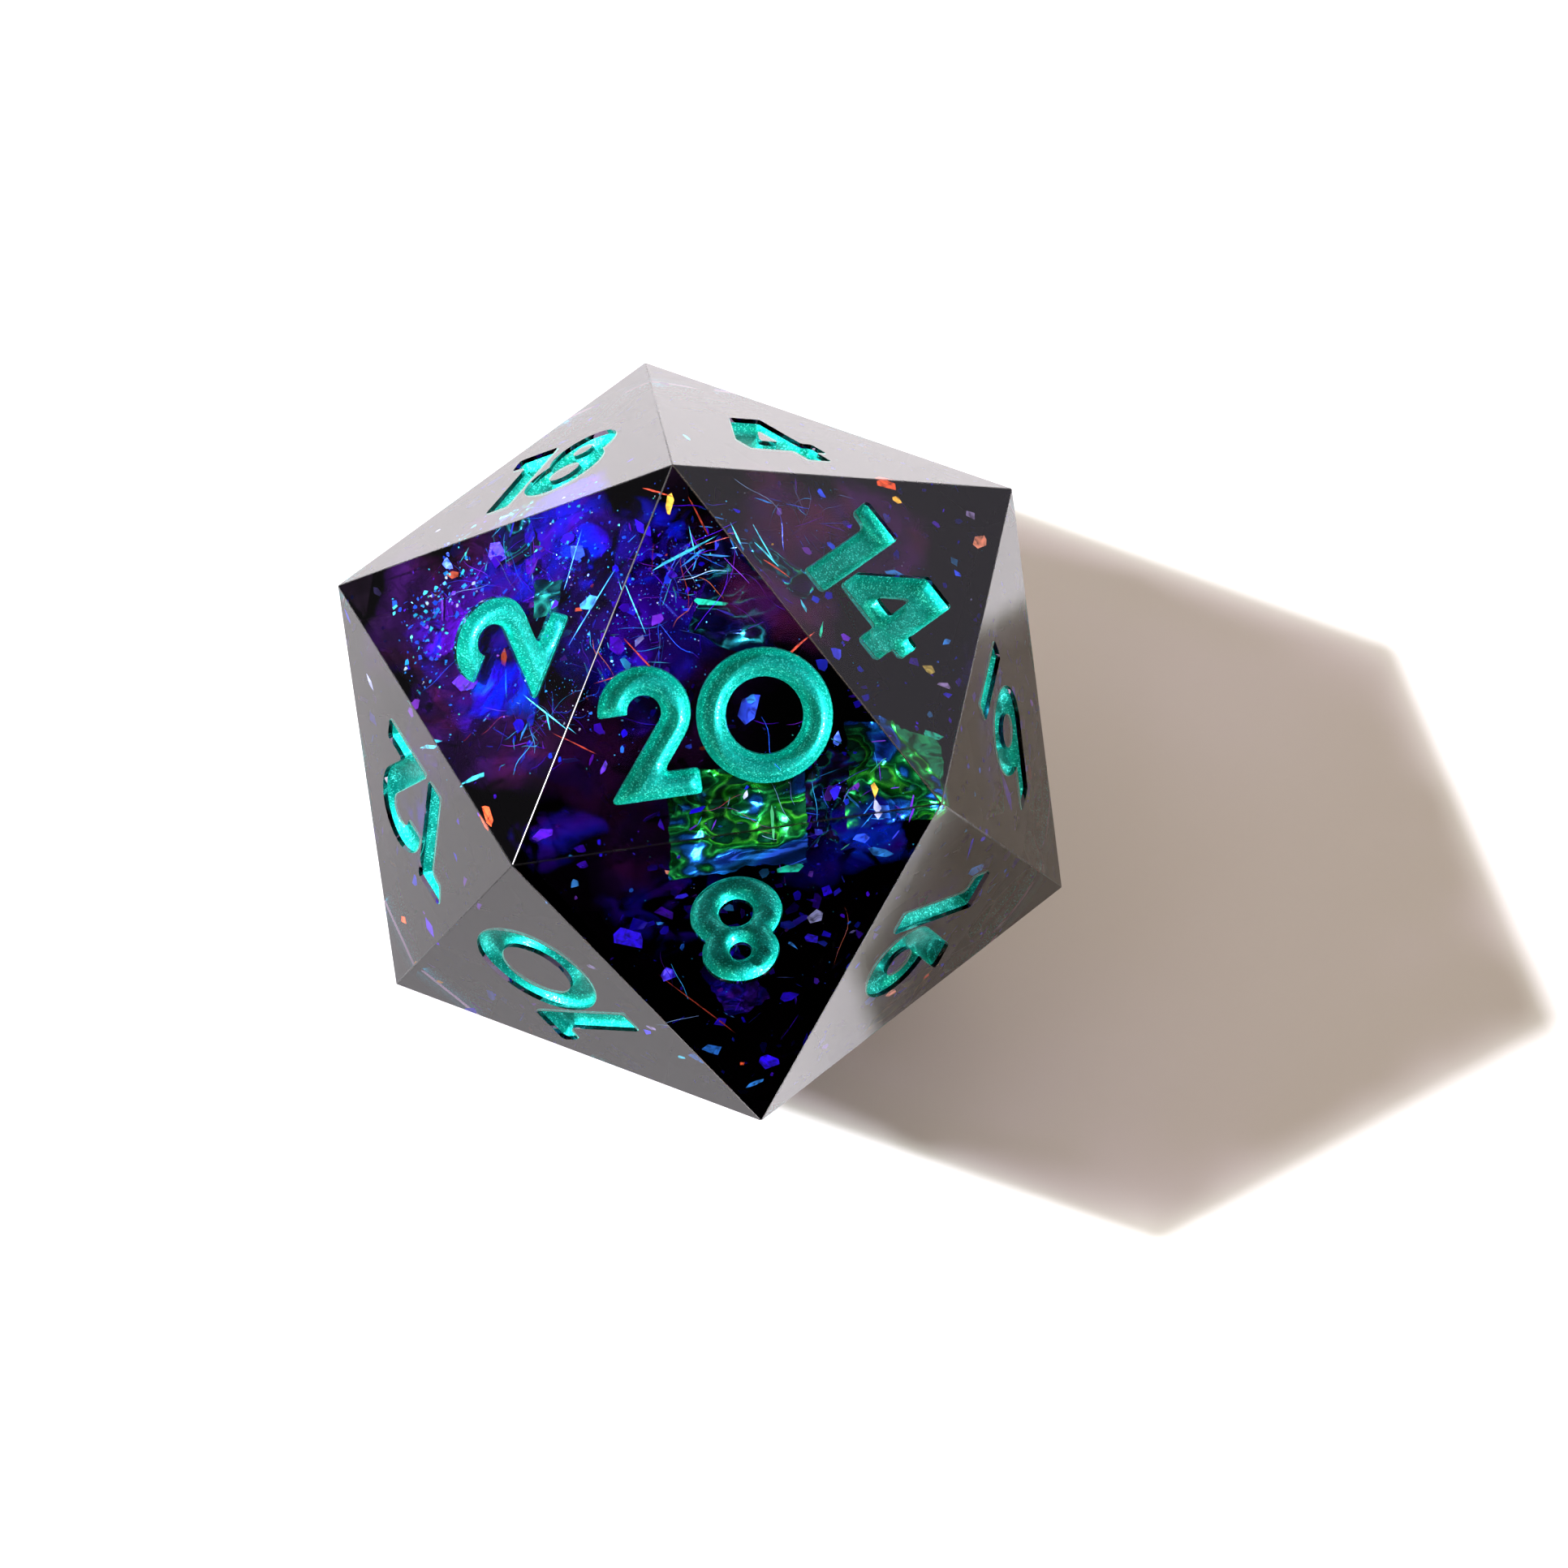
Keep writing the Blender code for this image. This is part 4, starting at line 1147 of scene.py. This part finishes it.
# Clusters: the face, the middle on it, the depths, the spread, how many, and the sizes, in
# millimetres.
HIDDEN_CLUSTERS = tuple((number, (0, 0), (0.4, 2.6), 3.8, 40, (0.2, 0.9)) for number in HIDDEN_FACES)
FLAKE_CLUSTERS = HIDDEN_CLUSTERS + (
    (20, (0, 5.2), (0.5, 2), 1.6, 26, (0.15, 0.6)), (20, (-2, 1.6), (0.6, 2.2), 2, 34, (0.15, 0.8)),
    (20, (3, -3.6), (0.7, 2.2), 2.4, 44, (0.2, 0.9)), (20, (0, 0), (1.2, 2.8), 4.5, 44, (0.2, 0.9)),
    (14, (0, 1), (0.3, 1.8), 3.4, 46, (0.15, 0.6)), (14, (2.5, -1.5), (0.4, 1.8), 2.6, 16, (0.15, 0.6)),
    (2, (0, 0), (0.5, 2.2), 3.8, 90, (0.15, 0.8)), (8, (0, 0), (0.5, 2.2), 3.8, 130, (0.2, 1)),
    (12, (0, 0), (0.9, 2.6), 3.8, 14, (0.2, 0.8)), (10, (0, 0), (0.9, 2.6), 3.8, 10, (0.2, 0.7)),
    (16, (0, 0), (0.5, 2.4), 3.8, 36, (0.2, 0.8)), (6, (0, 0), (0.4, 2.2), 3.8, 50, (0.2, 0.8)),
    (18, (0, 0), (0.9, 2.6), 3.8, 10, (0.2, 0.6)), (4, (0, 0), (0.9, 2.6), 3.8, 10, (0.2, 0.6)),
)
DUST_CLUSTERS = (
    (2, (3.4, -0.6), (0.4, 1.8), 1.5, 170, (0.06, 0.22)),
    (2, (1.6, 3.2), (0.4, 1.4), 1.1, 80, (0.09, 0.32)), (2, (0.2, 4.2), (0.4, 1.2), 1, 70, (0.1, 0.36)),
    (2, (-1.4, 3.4), (0.4, 1.4), 1, 44, (0.08, 0.3)), (2, (0, -2.4), (0.4, 1.8), 1.6, 120, (0.05, 0.18)),
    (2, (-0.5, 0.4), (0.4, 2.4), 3, 260, (0.03, 0.1)), (20, (-0.6, 4.4), (0.4, 2), 2, 360, (0.03, 0.11)),
    (20, (-2.6, 1.6), (0.4, 2), 2, 160, (0.03, 0.1)), (20, (2.8, -3.4), (0.5, 2), 2.2, 160, (0.03, 0.11)),
    (14, (-1, 0), (0.3, 2), 3.6, 110, (0.03, 0.07)), (8, (0, 0), (0.4, 2), 3.6, 130, (0.03, 0.08)),
)
SPLINTER_CLUSTERS = (
    (20, (0.6, 4.6), (0.6, 1.8), 1.6, 26, (0.4, 1.5)), (20, (-1.8, 2.6), (0.6, 2), 1.6, 18, (0.4, 1.5)),
    (20, (1.2, -3.8), (0.7, 1.6), 1.6, 26, (0.5, 1.6)), (20, (4.4, -3.1), (0.7, 1.6), 1.2, 24, (0.5, 1.5)),
    (2, (-2.4, -1.6), (0.5, 1.8), 1.5, 20, (0.4, 1.4)), (2, (1.6, 2.2), (0.6, 2), 2, 26, (0.5, 1.8)),
    (14, (-2.6, 1), (0.5, 1.8), 1.4, 24, (0.5, 1.8)), (8, (0.6, 2.6), (0.6, 2), 2, 12, (0.5, 1.4)),
)
FIBRE_CLUSTERS = (
    (20, (0.4, 4.8), (0.4, 1.8), 1.6, 44, (0.6, 2.4)), (20, (-1.6, 2.6), (0.4, 1.8), 1.6, 26, (0.6, 2.4)),
    (20, (1.6, -3.4), (0.6, 1.8), 2, 34, (0.6, 2.2)), (2, (-2.2, -1.8), (0.5, 1.8), 1.4, 40, (0.4, 1.5)),
    (2, (1.6, 2), (0.5, 1.8), 2, 40, (0.6, 2.2)), (14, (-2.6, 0), (0.5, 1.8), 1.6, 34, (0.6, 2.2)),
    (8, (1, 1), (0.6, 2), 3.4, 12, (0.6, 2.6)),
)
FLAKE_THICKNESS = 0.012 * MM
FIBRE_RADIUS = 0.012 * MM
GROOVE_CLEARANCE = 0.80 * MM
WALL_CLEARANCE = 0.2 * MM
SPREAD_DEVIATIONS = 1.6
LOOSE_CHANCE = 0.35
LEAN = 0.45
FLAKE_REACH = 0.3
CHIP_UNEVENNESS = 0.3
CHIP_RADII = (0.5, 1.0)
SHARD_LEAN = 0.12
SHARD_REACH = 0.6
SHARD_CORNERS = (4, 5, 6)
SHARD_SEED = 21
FIBRE_SEED = 77
FIBRE_STEPS = 8
FIBRE_SIDES = 3
FIBRE_BEND = 0.35
FIBRE_WAVE = 0.06
FIBRE_TIP = 0.35
FIBRE_REACH = 0.3 * MM
FIBRE_SMOOTH = 60
# Each kind of flake: its clusters, its finish and colours, its roughness, its seed, how many corners
# it may have, and its width as a share of its length.
FLAKE_KINDS = {
    "flakes": (FLAKE_CLUSTERS, "flake", MIXED_STOPS, 0.28, 5, (4, 5, 6), (0.5, 1.0)),
    "dust": (DUST_CLUSTERS, "glitter_dust", DUST_STOPS, 0.3, 6, (4, 5), (0.7, 1.0)),
    "splinters": (SPLINTER_CLUSTERS, "splinter", SPLINTER_STOPS, 0.2, 7, (4, 5), (0.03, 0.12)),
}


def is_clear(point, margin):
    """True if a point is inside the die, and that far from each of its faces."""
    return wall_distance(point) > margin


def scattered(rng, cluster, reach):
    """Places in a cluster whose surroundings, out to reach, stay in the resin and off the grooves."""
    number, middle, depths, spread, count, _ = cluster
    matrix = face_matrix(number)
    places = []
    for _ in range(count):
        x = rng.gauss(middle[0], spread / SPREAD_DEVIATIONS) * MM
        y = rng.gauss(middle[1], spread / SPREAD_DEVIATIONS) * MM
        depth = rng.uniform(*depths) * MM
        place = matrix @ Vector((x, y, -depth))
        if not is_clear(place, WALL_CLEARANCE + reach):
            continue
        if depth < GROOVE_CLEARANCE + reach and near_stroke(number, x, y, reach):
            continue
        places.append(place)
    return places


def near_stroke(number, x, y, reach):
    here = np.array([[x, y]])
    for _, stroke in STROKES[number]:
        if in_stroke(Vector((x, y)), stroke.loops):
            return True
        if distances(here, stroke.loops)[0] < reach:
            return True
    return False


def leaning(rng, deviation):
    return Matrix.Rotation(rng.gauss(0, deviation), 3, "X") @ Matrix.Rotation(rng.gauss(0, deviation), 3, "Y")


def random_turn(number, rng):
    """A turn for a flake: any way at all, or more often roughly level with the face above it."""
    if rng.random() < LOOSE_CHANCE:
        axis = Vector((rng.gauss(0, 1), rng.gauss(0, 1), rng.gauss(0, 1))).normalized()
        return Matrix.Rotation(rng.uniform(0, math.tau), 3, axis)
    spin = Matrix.Rotation(rng.uniform(0, math.tau), 3, "Z")
    return face_matrix(number).to_3x3() @ leaning(rng, LEAN) @ spin


def add_flake(bm, place, turn, radius, rng, corners, stretch):
    """A thin torn chip: an uneven polygon with two faces and a rim."""
    start = rng.uniform(0, math.tau)
    outline = []
    for i in range(corners):
        angle = start + math.tau * (i + rng.uniform(-CHIP_UNEVENNESS, CHIP_UNEVENNESS)) / corners
        share = radius * rng.uniform(*CHIP_RADII)
        outline.append((math.cos(angle) * share, math.sin(angle) * share * stretch))
    sides = []
    for height in (0.5 * FLAKE_THICKNESS, -0.5 * FLAKE_THICKNESS):
        points = [place + turn @ Vector((*p, height)) for p in outline]
        # The height is added so that the two sides stay apart where both are moved inwards.
        sides.append([bm.verts.new(kept_inside(p, WALL_CLEARANCE + height)) for p in points])
    top, bottom = sides
    bm.faces.new(top)
    bm.faces.new(bottom[::-1])
    for i in range(corners):
        bm.faces.new((top[i - 1], bottom[i - 1], bottom[i], top[i]))


def make_flakes():
    for name, (clusters, finish, stops, roughness, seed, corners, stretches) in FLAKE_KINDS.items():
        rng = random.Random(seed)
        bm = bmesh.new()
        for cluster in clusters:
            small, large = cluster[5]
            for place in scattered(rng, cluster, FLAKE_REACH * large * MM):
                radius = (small + (large - small) * rng.random() ** 2) * MM / 2
                turn = random_turn(cluster[0], rng)
                if is_clear(place, radius):
                    stretch = rng.uniform(*stretches)
                    add_flake(bm, place, turn, radius, rng, rng.choice(corners), stretch)
        piece = new_object(name, bm, [flake_material(finish, stops, roughness)])
        dress(piece, "iridescent_film")


# The shards that stand out: colour, face, x and y on the face, depth, turn in degrees, length and
# width, in millimetres. Their ends were picked by eye in the photograph, and a scratch script
# turned them into these places, through the camera below and the bending of light in the resin.
SHARDS = (
    ("amber", 20, -0.3, 6.8, 0.6, -105, 0.7, 0.3), ("ice", 20, 0, 5.2, 0.8, 20, 2.2, 0.16),
    ("sky", 20, 0.2, 5, 0.9, 30, 1.3, 0.1), ("sky", 2, 1.9, -2.5, 0.7, -60, 0.8, 0.5),
    ("ice", 2, -4.6, -0.8, 0.5, -45, 1, 0.34), ("ember", 2, -5.6, -1.9, 0.5, -135, 1, 0.34),
    ("blue", 2, 3.4, -1.1, 0.8, -50, 0.8, 0.7), ("pearl", 12, 4.2, -2, 0.5, 145, 0.7, 0.35),
    ("ice", 12, -0.3, -3.2, 0.5, -135, 1.6, 0.18), ("violet", 20, -3.6, -1.3, 0.8, 55, 0.7, 0.16),
    ("blue", 20, -0.8, -1, 0.8, 0, 0.3, 0.25), ("teal", 20, 0.5, 3.5, 0.7, -10, 1.4, 0.26),
    ("ember", 14, -2.5, 3.6, 0.4, 50, 1.1, 0.42), ("amber", 14, -1.9, 3.5, 0.4, 35, 0.4, 0.3),
    ("blue", 14, -3.5, 0.9, 0.5, -10, 0.5, 0.26), ("grey", 14, -0.1, 5.8, 0.4, 35, 0.5, 0.45),
    ("coral", 14, 0.8, 5.4, 0.4, 90, 1, 0.42), ("sky", 14, 0.1, 1.3, 0.7, 65, 0.9, 0.6),
    ("blue", 14, 0.8, 2.1, 0.5, 65, 0.2, 0.24), ("olive", 14, 3.2, -0.3, 0.5, 35, 0.5, 0.42),
    ("grey", 14, 3.9, -0.2, 0.5, 50, 0.6, 0.28), ("sky", 14, 2.8, 1.2, 0.5, 80, 0.5, 0.22),
    ("sky", 14, -4.3, -1.4, 0.5, 40, 0.8, 0.08), ("sky", 14, -3.8, -3.4, 0.7, -20, 1.1, 0.12),
    ("ice", 20, 2.6, 4.8, 0.7, -50, 1.1, 0.1), ("teal", 20, 4, 2.1, 0.5, 55, 0.9, 0.14),
    ("blue", 20, 1.3, 0, 0.8, 55, 1.1, 0.62), ("sky", 20, 1.4, 0.2, 0.7, 35, 0.4, 0.3),
    ("amber", 20, 4.9, -3.2, 0.7, -90, 0.6, 0.26), ("pearl", 20, 4.9, -3.8, 0.7, -90, 0.6, 0.3),
    ("sky", 8, -4.8, -2.2, 0.6, 155, 1.2, 0.36), ("teal", 8, -1.9, -2.1, 0.4, 180, 1.1, 0.5),
    ("pearl", 20, 0.8, -2.8, 0.6, -25, 0.2, 0.3), ("blue", 20, 4.3, -4.6, 0.9, -55, 0.5, 0.55),
    ("pearl", 8, -2.5, 0.1, 0.6, 180, 0.8, 0.62), ("deep", 8, 3.5, -0.1, 0.7, 150, 1.3, 0.8),
    ("deep", 8, -0.5, 5.8, 0.6, 170, 1, 0.72), ("ember", 8, 0.4, 5.7, 0.5, 180, 0.2, 0.22),
    ("sky", 8, 0.1, 6.6, 0.5, -165, 0.7, 0.18), ("violet", 8, 5.8, -4.7, 0.5, -140, 0.9, 0.6),
    ("coral", 8, 2, -2.6, 0.5, 135, 0.3, 0.22), ("deep", 8, -1.4, 3.3, 0.8, -160, 0.6, 0.5),
    ("deep", 8, 0.9, 4, 0.9, 145, 0.5, 0.5), ("sky", 8, 1.3, 5.4, 1.6, 155, 0.7, 0.5),
    ("sky", 8, -1.7, 1.1, 0.5, 125, 0.7, 0.14), ("deep", 8, -2.3, 1, 0.7, 135, 0.6, 0.4),
    ("violet", 8, 2.3, -0.8, 1, 140, 0.8, 0.5), ("sky", 8, 2.5, -0.6, 0.5, 160, 0.3, 0.14),
    ("deep", 8, -3, -0.8, 0.9, 140, 0.6, 0.5), ("deep", 8, 0.5, 1.4, 1.4, 140, 0.8, 0.5),
    ("coral", 16, 2.6, 0.3, 0.4, 90, 0.6, 0.3), ("ember", 16, 2.4, 2.1, 0.4, 125, 0.4, 0.3),
    ("violet", 6, 1.2, 1.6, 0.9, 75, 1.9, 0.55), ("deep", 6, 4.4, 0.5, 0.9, 70, 1.2, 0.4),
    ("sky", 16, -2.3, 1.7, 0.9, 100, 1, 0.7), ("deep", 16, -0.7, 1.1, 1, 110, 1.1, 0.6),
    ("ice", 10, -3.6, -2.9, 0.4, -90, 0.4, 0.25), ("grey", 10, -2, -2.8, 0.4, -125, 0.4, 0.2),
    ("grey", 10, 1.3, -2.8, 0.4, -125, 0.4, 0.25), ("ember", 12, 0.1, 5.1, 0.4, -145, 0.7, 0.3),
    ("violet", 12, -1.6, 3.9, 0.6, -155, 1, 0.6), ("ice", 18, 5.3, 0.2, 0.4, -45, 0.7, 0.2),
    ("pearl", 18, -3.9, -1.8, 0.4, 0, 0.3, 0.2), ("teal", 18, -2.2, 2, 0.4, 65, 0.4, 0.2),
    ("blue", 2, 1.8, 4, 0.6, -110, 0.6, 0.3), ("deep", 2, 2.6, 2.4, 1.2, -105, 1, 0.7),
    ("violet", 2, 2.6, 0.7, 1.1, -65, 1.1, 0.8), ("deep", 2, 3.8, -0.4, 1, -95, 0.8, 0.6),
    ("deep", 2, 0, 2, 1.2, -110, 1.6, 0.8), ("violet", 2, -1.8, 1.4, 1, -95, 1.2, 0.8),
    ("deep", 20, -2.1, 1.1, 1, 5, 0.8, 0.5), ("violet", 20, -2.6, 2.6, 1.2, 15, 0.7, 0.7),
    ("deep", 20, -1.1, 6.2, 0.9, -80, 0.7, 0.4), ("ice", 14, -0.8, -3, 0.6, -10, 0.7, 0.12),
    ("teal", 14, 5, -1.9, 0.8, 55, 0.9, 0.3), ("ice", 14, 5.3, -2.7, 0.8, 50, 1.4, 0.3),
    ("teal", 14, 7.2, -3.8, 0.5, 90, 0.6, 0.4), ("blue", 14, -1.9, -0.2, 0.6, 15, 0.4, 0.25),
    ("violet", 14, -0.5, 4.3, 0.5, 15, 0.4, 0.25), ("blue", 14, 1.2, 3.6, 0.5, 0, 0.4, 0.25),
    ("rust", 8, 1.7, 2.9, 0.7, 125, 5.3, 0.05), ("rust", 20, -1.9, 2.1, 0.7, -55, 1.5, 0.06),
    ("rust", 20, 0.6, 6.3, 0.6, -70, 1.6, 0.07), ("rust", 20, 3, 1.6, 0.8, 35, 1.7, 0.09),
    ("rust", 20, -4.2, -0.5, 0.8, -35, 1.6, 0.06), ("rust", 20, 2.8, 4.3, 0.8, -30, 1.6, 0.06),
    ("rust", 20, -2.6, 1.6, 0.9, 10, 1.8, 0.06), ("rust", 2, 6, -3.5, 0.6, -90, 1.4, 0.06),
    ("ice", 20, 2.8, 5.1, 0.6, -80, 1.6, 0.06), ("ice", 20, 1.6, 5.5, 0.6, -75, 1.2, 0.07),
    ("sky", 20, -3.1, 4, 0.8, 50, 2.8, 0.07), ("ice", 20, -1.8, 3.5, 0.8, -75, 2.1, 0.05),
    ("ice", 20, 0.3, 5.4, 0.9, -85, 1.6, 0.05), ("sky", 2, 3, -1.1, 0.8, 5, 2.5, 0.06),
    ("ice", 2, -1.9, -2.6, 0.7, -105, 2.3, 0.05), ("ice", 2, -2.1, -2.8, 0.6, -135, 1.1, 0.06),
)


def make_shards():
    rng = random.Random(SHARD_SEED)
    bm = bmesh.new()
    tint = bm.loops.layers.float_color.new("tint")
    for colour, number, x, y, depth, degrees, length, width in SHARDS:
        matrix = face_matrix(number)
        spin = Matrix.Rotation(math.radians(degrees), 3, "Z")
        turn = matrix.to_3x3() @ spin @ leaning(rng, SHARD_LEAN)
        middle = matrix @ Vector((x * MM, y * MM, -depth * MM))
        count = len(bm.faces)
        radius = SHARD_REACH * length * MM
        add_flake(bm, middle, turn, radius, rng, rng.choice(SHARD_CORNERS), width / length)
        for face in list(bm.faces)[count:]:
            for loop in face.loops:
                loop[tint] = (*SHARD_COLOURS[colour], 1)
    piece = new_object("shards", bm, [shard_material()])
    dress(piece, "iridescent_film")


def add_fibre(bm, place, turn, length, rng):
    """A hair of film: a gently curved strip with three sides and closed ends."""
    bend = rng.uniform(-FIBRE_BEND, FIBRE_BEND) * length
    wave = rng.uniform(-FIBRE_WAVE, FIBRE_WAVE) * length
    rings = []
    for i in range(FIBRE_STEPS + 1):
        t = i / FIBRE_STEPS
        x = (t - 0.5) * length
        y = bend * (0.25 - (t - 0.5) ** 2) + wave * math.sin(t * math.tau)
        thin = FIBRE_RADIUS * (FIBRE_TIP + (1 - FIBRE_TIP) * math.sin(math.pi * t))
        ring = []
        for k in range(FIBRE_SIDES):
            angle = math.tau * k / FIBRE_SIDES
            offset = Vector((x, y + thin * math.cos(angle), thin * math.sin(angle)))
            ring.append(bm.verts.new(kept_inside(place + turn @ offset, WALL_CLEARANCE)))
        rings.append(ring)
    for a, b in zip(rings, rings[1:]):
        for k in range(FIBRE_SIDES):
            bm.faces.new((a[k - 1], b[k - 1], b[k], a[k]))
    bm.faces.new(rings[0])
    bm.faces.new(rings[-1][::-1])


def make_fibres():
    rng = random.Random(FIBRE_SEED)
    bm = bmesh.new()
    for cluster in FIBRE_CLUSTERS:
        for place in scattered(rng, cluster, FIBRE_REACH):
            length = rng.uniform(*cluster[5]) * MM
            turn = random_turn(cluster[0], rng)
            ends = [place + turn @ Vector((side * length / 2, 0, 0)) for side in (-1, 1)]
            if all(is_clear(end, WALL_CLEARANCE) for end in ends):
                add_fibre(bm, place, turn, length, rng)
    bmesh.ops.recalc_face_normals(bm, faces=bm.faces)
    piece = new_object("fibres", bm, [flake_material("fibre", FIBRE_STOPS, FIBRE_ROUGHNESS)], FIBRE_SMOOTH)
    dress(piece, "iridescent_film")


# -------------------- stage, light and camera

FLOOR_SIZE = 60 * FACE_RADIUS
FLOOR_CELLS = 8
FLOOR_GAP = 0.02 * MM
FLOOR_TONE = 0.60
# Painted shade and painted light on the floor: a darker tone toward one heading, a paler one far along both
# of two others.
PAINTED_SHADE_TONE = 0.32
PAINTED_SHADE_HEADING = 225
PAINTED_SHADE_REACH = (4 * MM, 20 * MM)
PAINTED_LIGHT_TONE = 0.92
PAINTED_LIGHT_SIDES = ((-45, (11 * MM, 19 * MM)), (-100, (14 * MM, 19.5 * MM)))
KEY_HEADING = -23.8
KEY_ELEVATION = 41.7
KEY_STRENGTH = 14.0
KEY_COLOUR = (0.985, 0.96, 1.03)
KEY_ANGLE = 3.0
ROOM_STRENGTH = 3.3
ROOM_HEADING = 50
ROOM_REACH = (-0.8, 0.95)
ROOM_CONTRAST = 2.0
ROOM_HEIGHTS = (
    (0.0, 0.19, 0.175, 0.205), (0.2, 0.19, 0.175, 0.205),
    (0.4, 1.0, 0.82, 0.66), (0.85, 1.0, 0.82, 0.66),
    (0.95, 0.01, 0.01, 0.01), (1.0, 0.01, 0.01, 0.01),
)
# The camera, fitted to the nine corners of the die that the photograph shows.
CAMERA_PLACE = CENTRE + Vector((-0.6739, -1.7249, 22.2485)) * EDGE
CAMERA_TARGET = CENTRE + Vector((0.1760, -0.1379, 0.0)) * EDGE
CAMERA_UP = Vector((0.1434, 0.9868, 0.0759))
FIELD_OF_VIEW = 9.577
SENSOR_WIDTH = 36
CLIP_START = 0.01


def make_floor():
    """A pale floor, with painted shade deepening its tone toward one heading and painted light making it
    paler where it lies along two others.
    """
    bm = bmesh.new()
    bmesh.ops.create_grid(bm, x_segments=FLOOR_CELLS, y_segments=FLOOR_CELLS, size=FLOOR_SIZE)
    n = material_nodes("pale_floor")
    # Painted shade: the floor darkens toward one heading.
    dim = n.map(n.toward(n.place(), PAINTED_SHADE_HEADING), PAINTED_SHADE_REACH, interpolation="SMOOTHSTEP")
    tone = n.mix(dim, grey(FLOOR_TONE), grey(PAINTED_SHADE_TONE))
    # Painted light: the floor is paler where it lies far along both of two headings.
    bright = 1.0
    for degrees, reach in PAINTED_LIGHT_SIDES:
        share = n.map(n.toward(n.place(), degrees), reach, interpolation="SMOOTHSTEP")
        bright = n.math("MULTIPLY", share, bright)
    tone = n.mix(bright, tone, grey(PAINTED_LIGHT_TONE))
    grain = n.ramp(n.noise(FLOOR_GRAIN), ((0.3, 0.98), (0.7, 1)))
    surface = n.principled(n.multiply(tone, grain), FLOOR_ROUGHNESS)
    floor = new_object("floor", bm, [n.finish(surface)])
    floor.location.z = -FLOOR_GAP


def make_key():
    """The soft key light, which travels toward KEY_HEADING and down."""
    sun = bpy.data.lights.new("key", "SUN")
    sun.energy = KEY_STRENGTH
    sun.color = KEY_COLOUR
    sun.angle = math.radians(KEY_ANGLE)
    key = bpy.data.objects.new("key", sun)
    drop = math.radians(KEY_ELEVATION)
    travel = ring_point(math.cos(drop), KEY_HEADING, -math.sin(drop))
    key.rotation_euler = travel.to_track_quat("-Z", "Y").to_euler()
    bpy.context.scene.collection.objects.link(key)


def make_room():
    """A room that is bright high on one side, dim along the horizon and dark straight above."""
    n = Nodes(bpy.data.worlds.new("room"), "OutputWorld")
    direction = n.add("TexCoord").outputs["Generated"]
    height = n.add("SeparateXYZ", {0: direction}).outputs["Z"]
    side = n.map(n.toward(direction, ROOM_HEADING), ROOM_REACH)
    strength = n.math("MULTIPLY", n.math("POWER", side, ROOM_CONTRAST), ROOM_STRENGTH)
    light = n.add("Background", {"Color": n.ramp(height, ROOM_HEIGHTS), "Strength": strength})
    bpy.context.scene.world = n.finish(light)


def make_camera():
    data = bpy.data.cameras.new("camera")
    data.sensor_width = SENSOR_WIDTH
    data.lens = SENSOR_WIDTH / 2 / math.tan(math.radians(FIELD_OF_VIEW / 2))
    data.clip_start = CLIP_START
    camera = bpy.data.objects.new("camera", data)
    back = (CAMERA_PLACE - CAMERA_TARGET).normalized()
    right = CAMERA_UP.cross(back).normalized()
    up = back.cross(right)
    turn = Matrix((right, up, back)).transposed().to_4x4()
    camera.matrix_world = Matrix.Translation(CAMERA_PLACE) @ turn
    bpy.context.scene.collection.objects.link(camera)
    bpy.context.scene.camera = camera


make_floor()
make_key()
make_room()
make_camera()
make_resin()
make_paint()
make_sheets()
make_flakes()
make_shards()
make_fibres()
bpy.context.scene.view_settings.view_transform = "Standard"
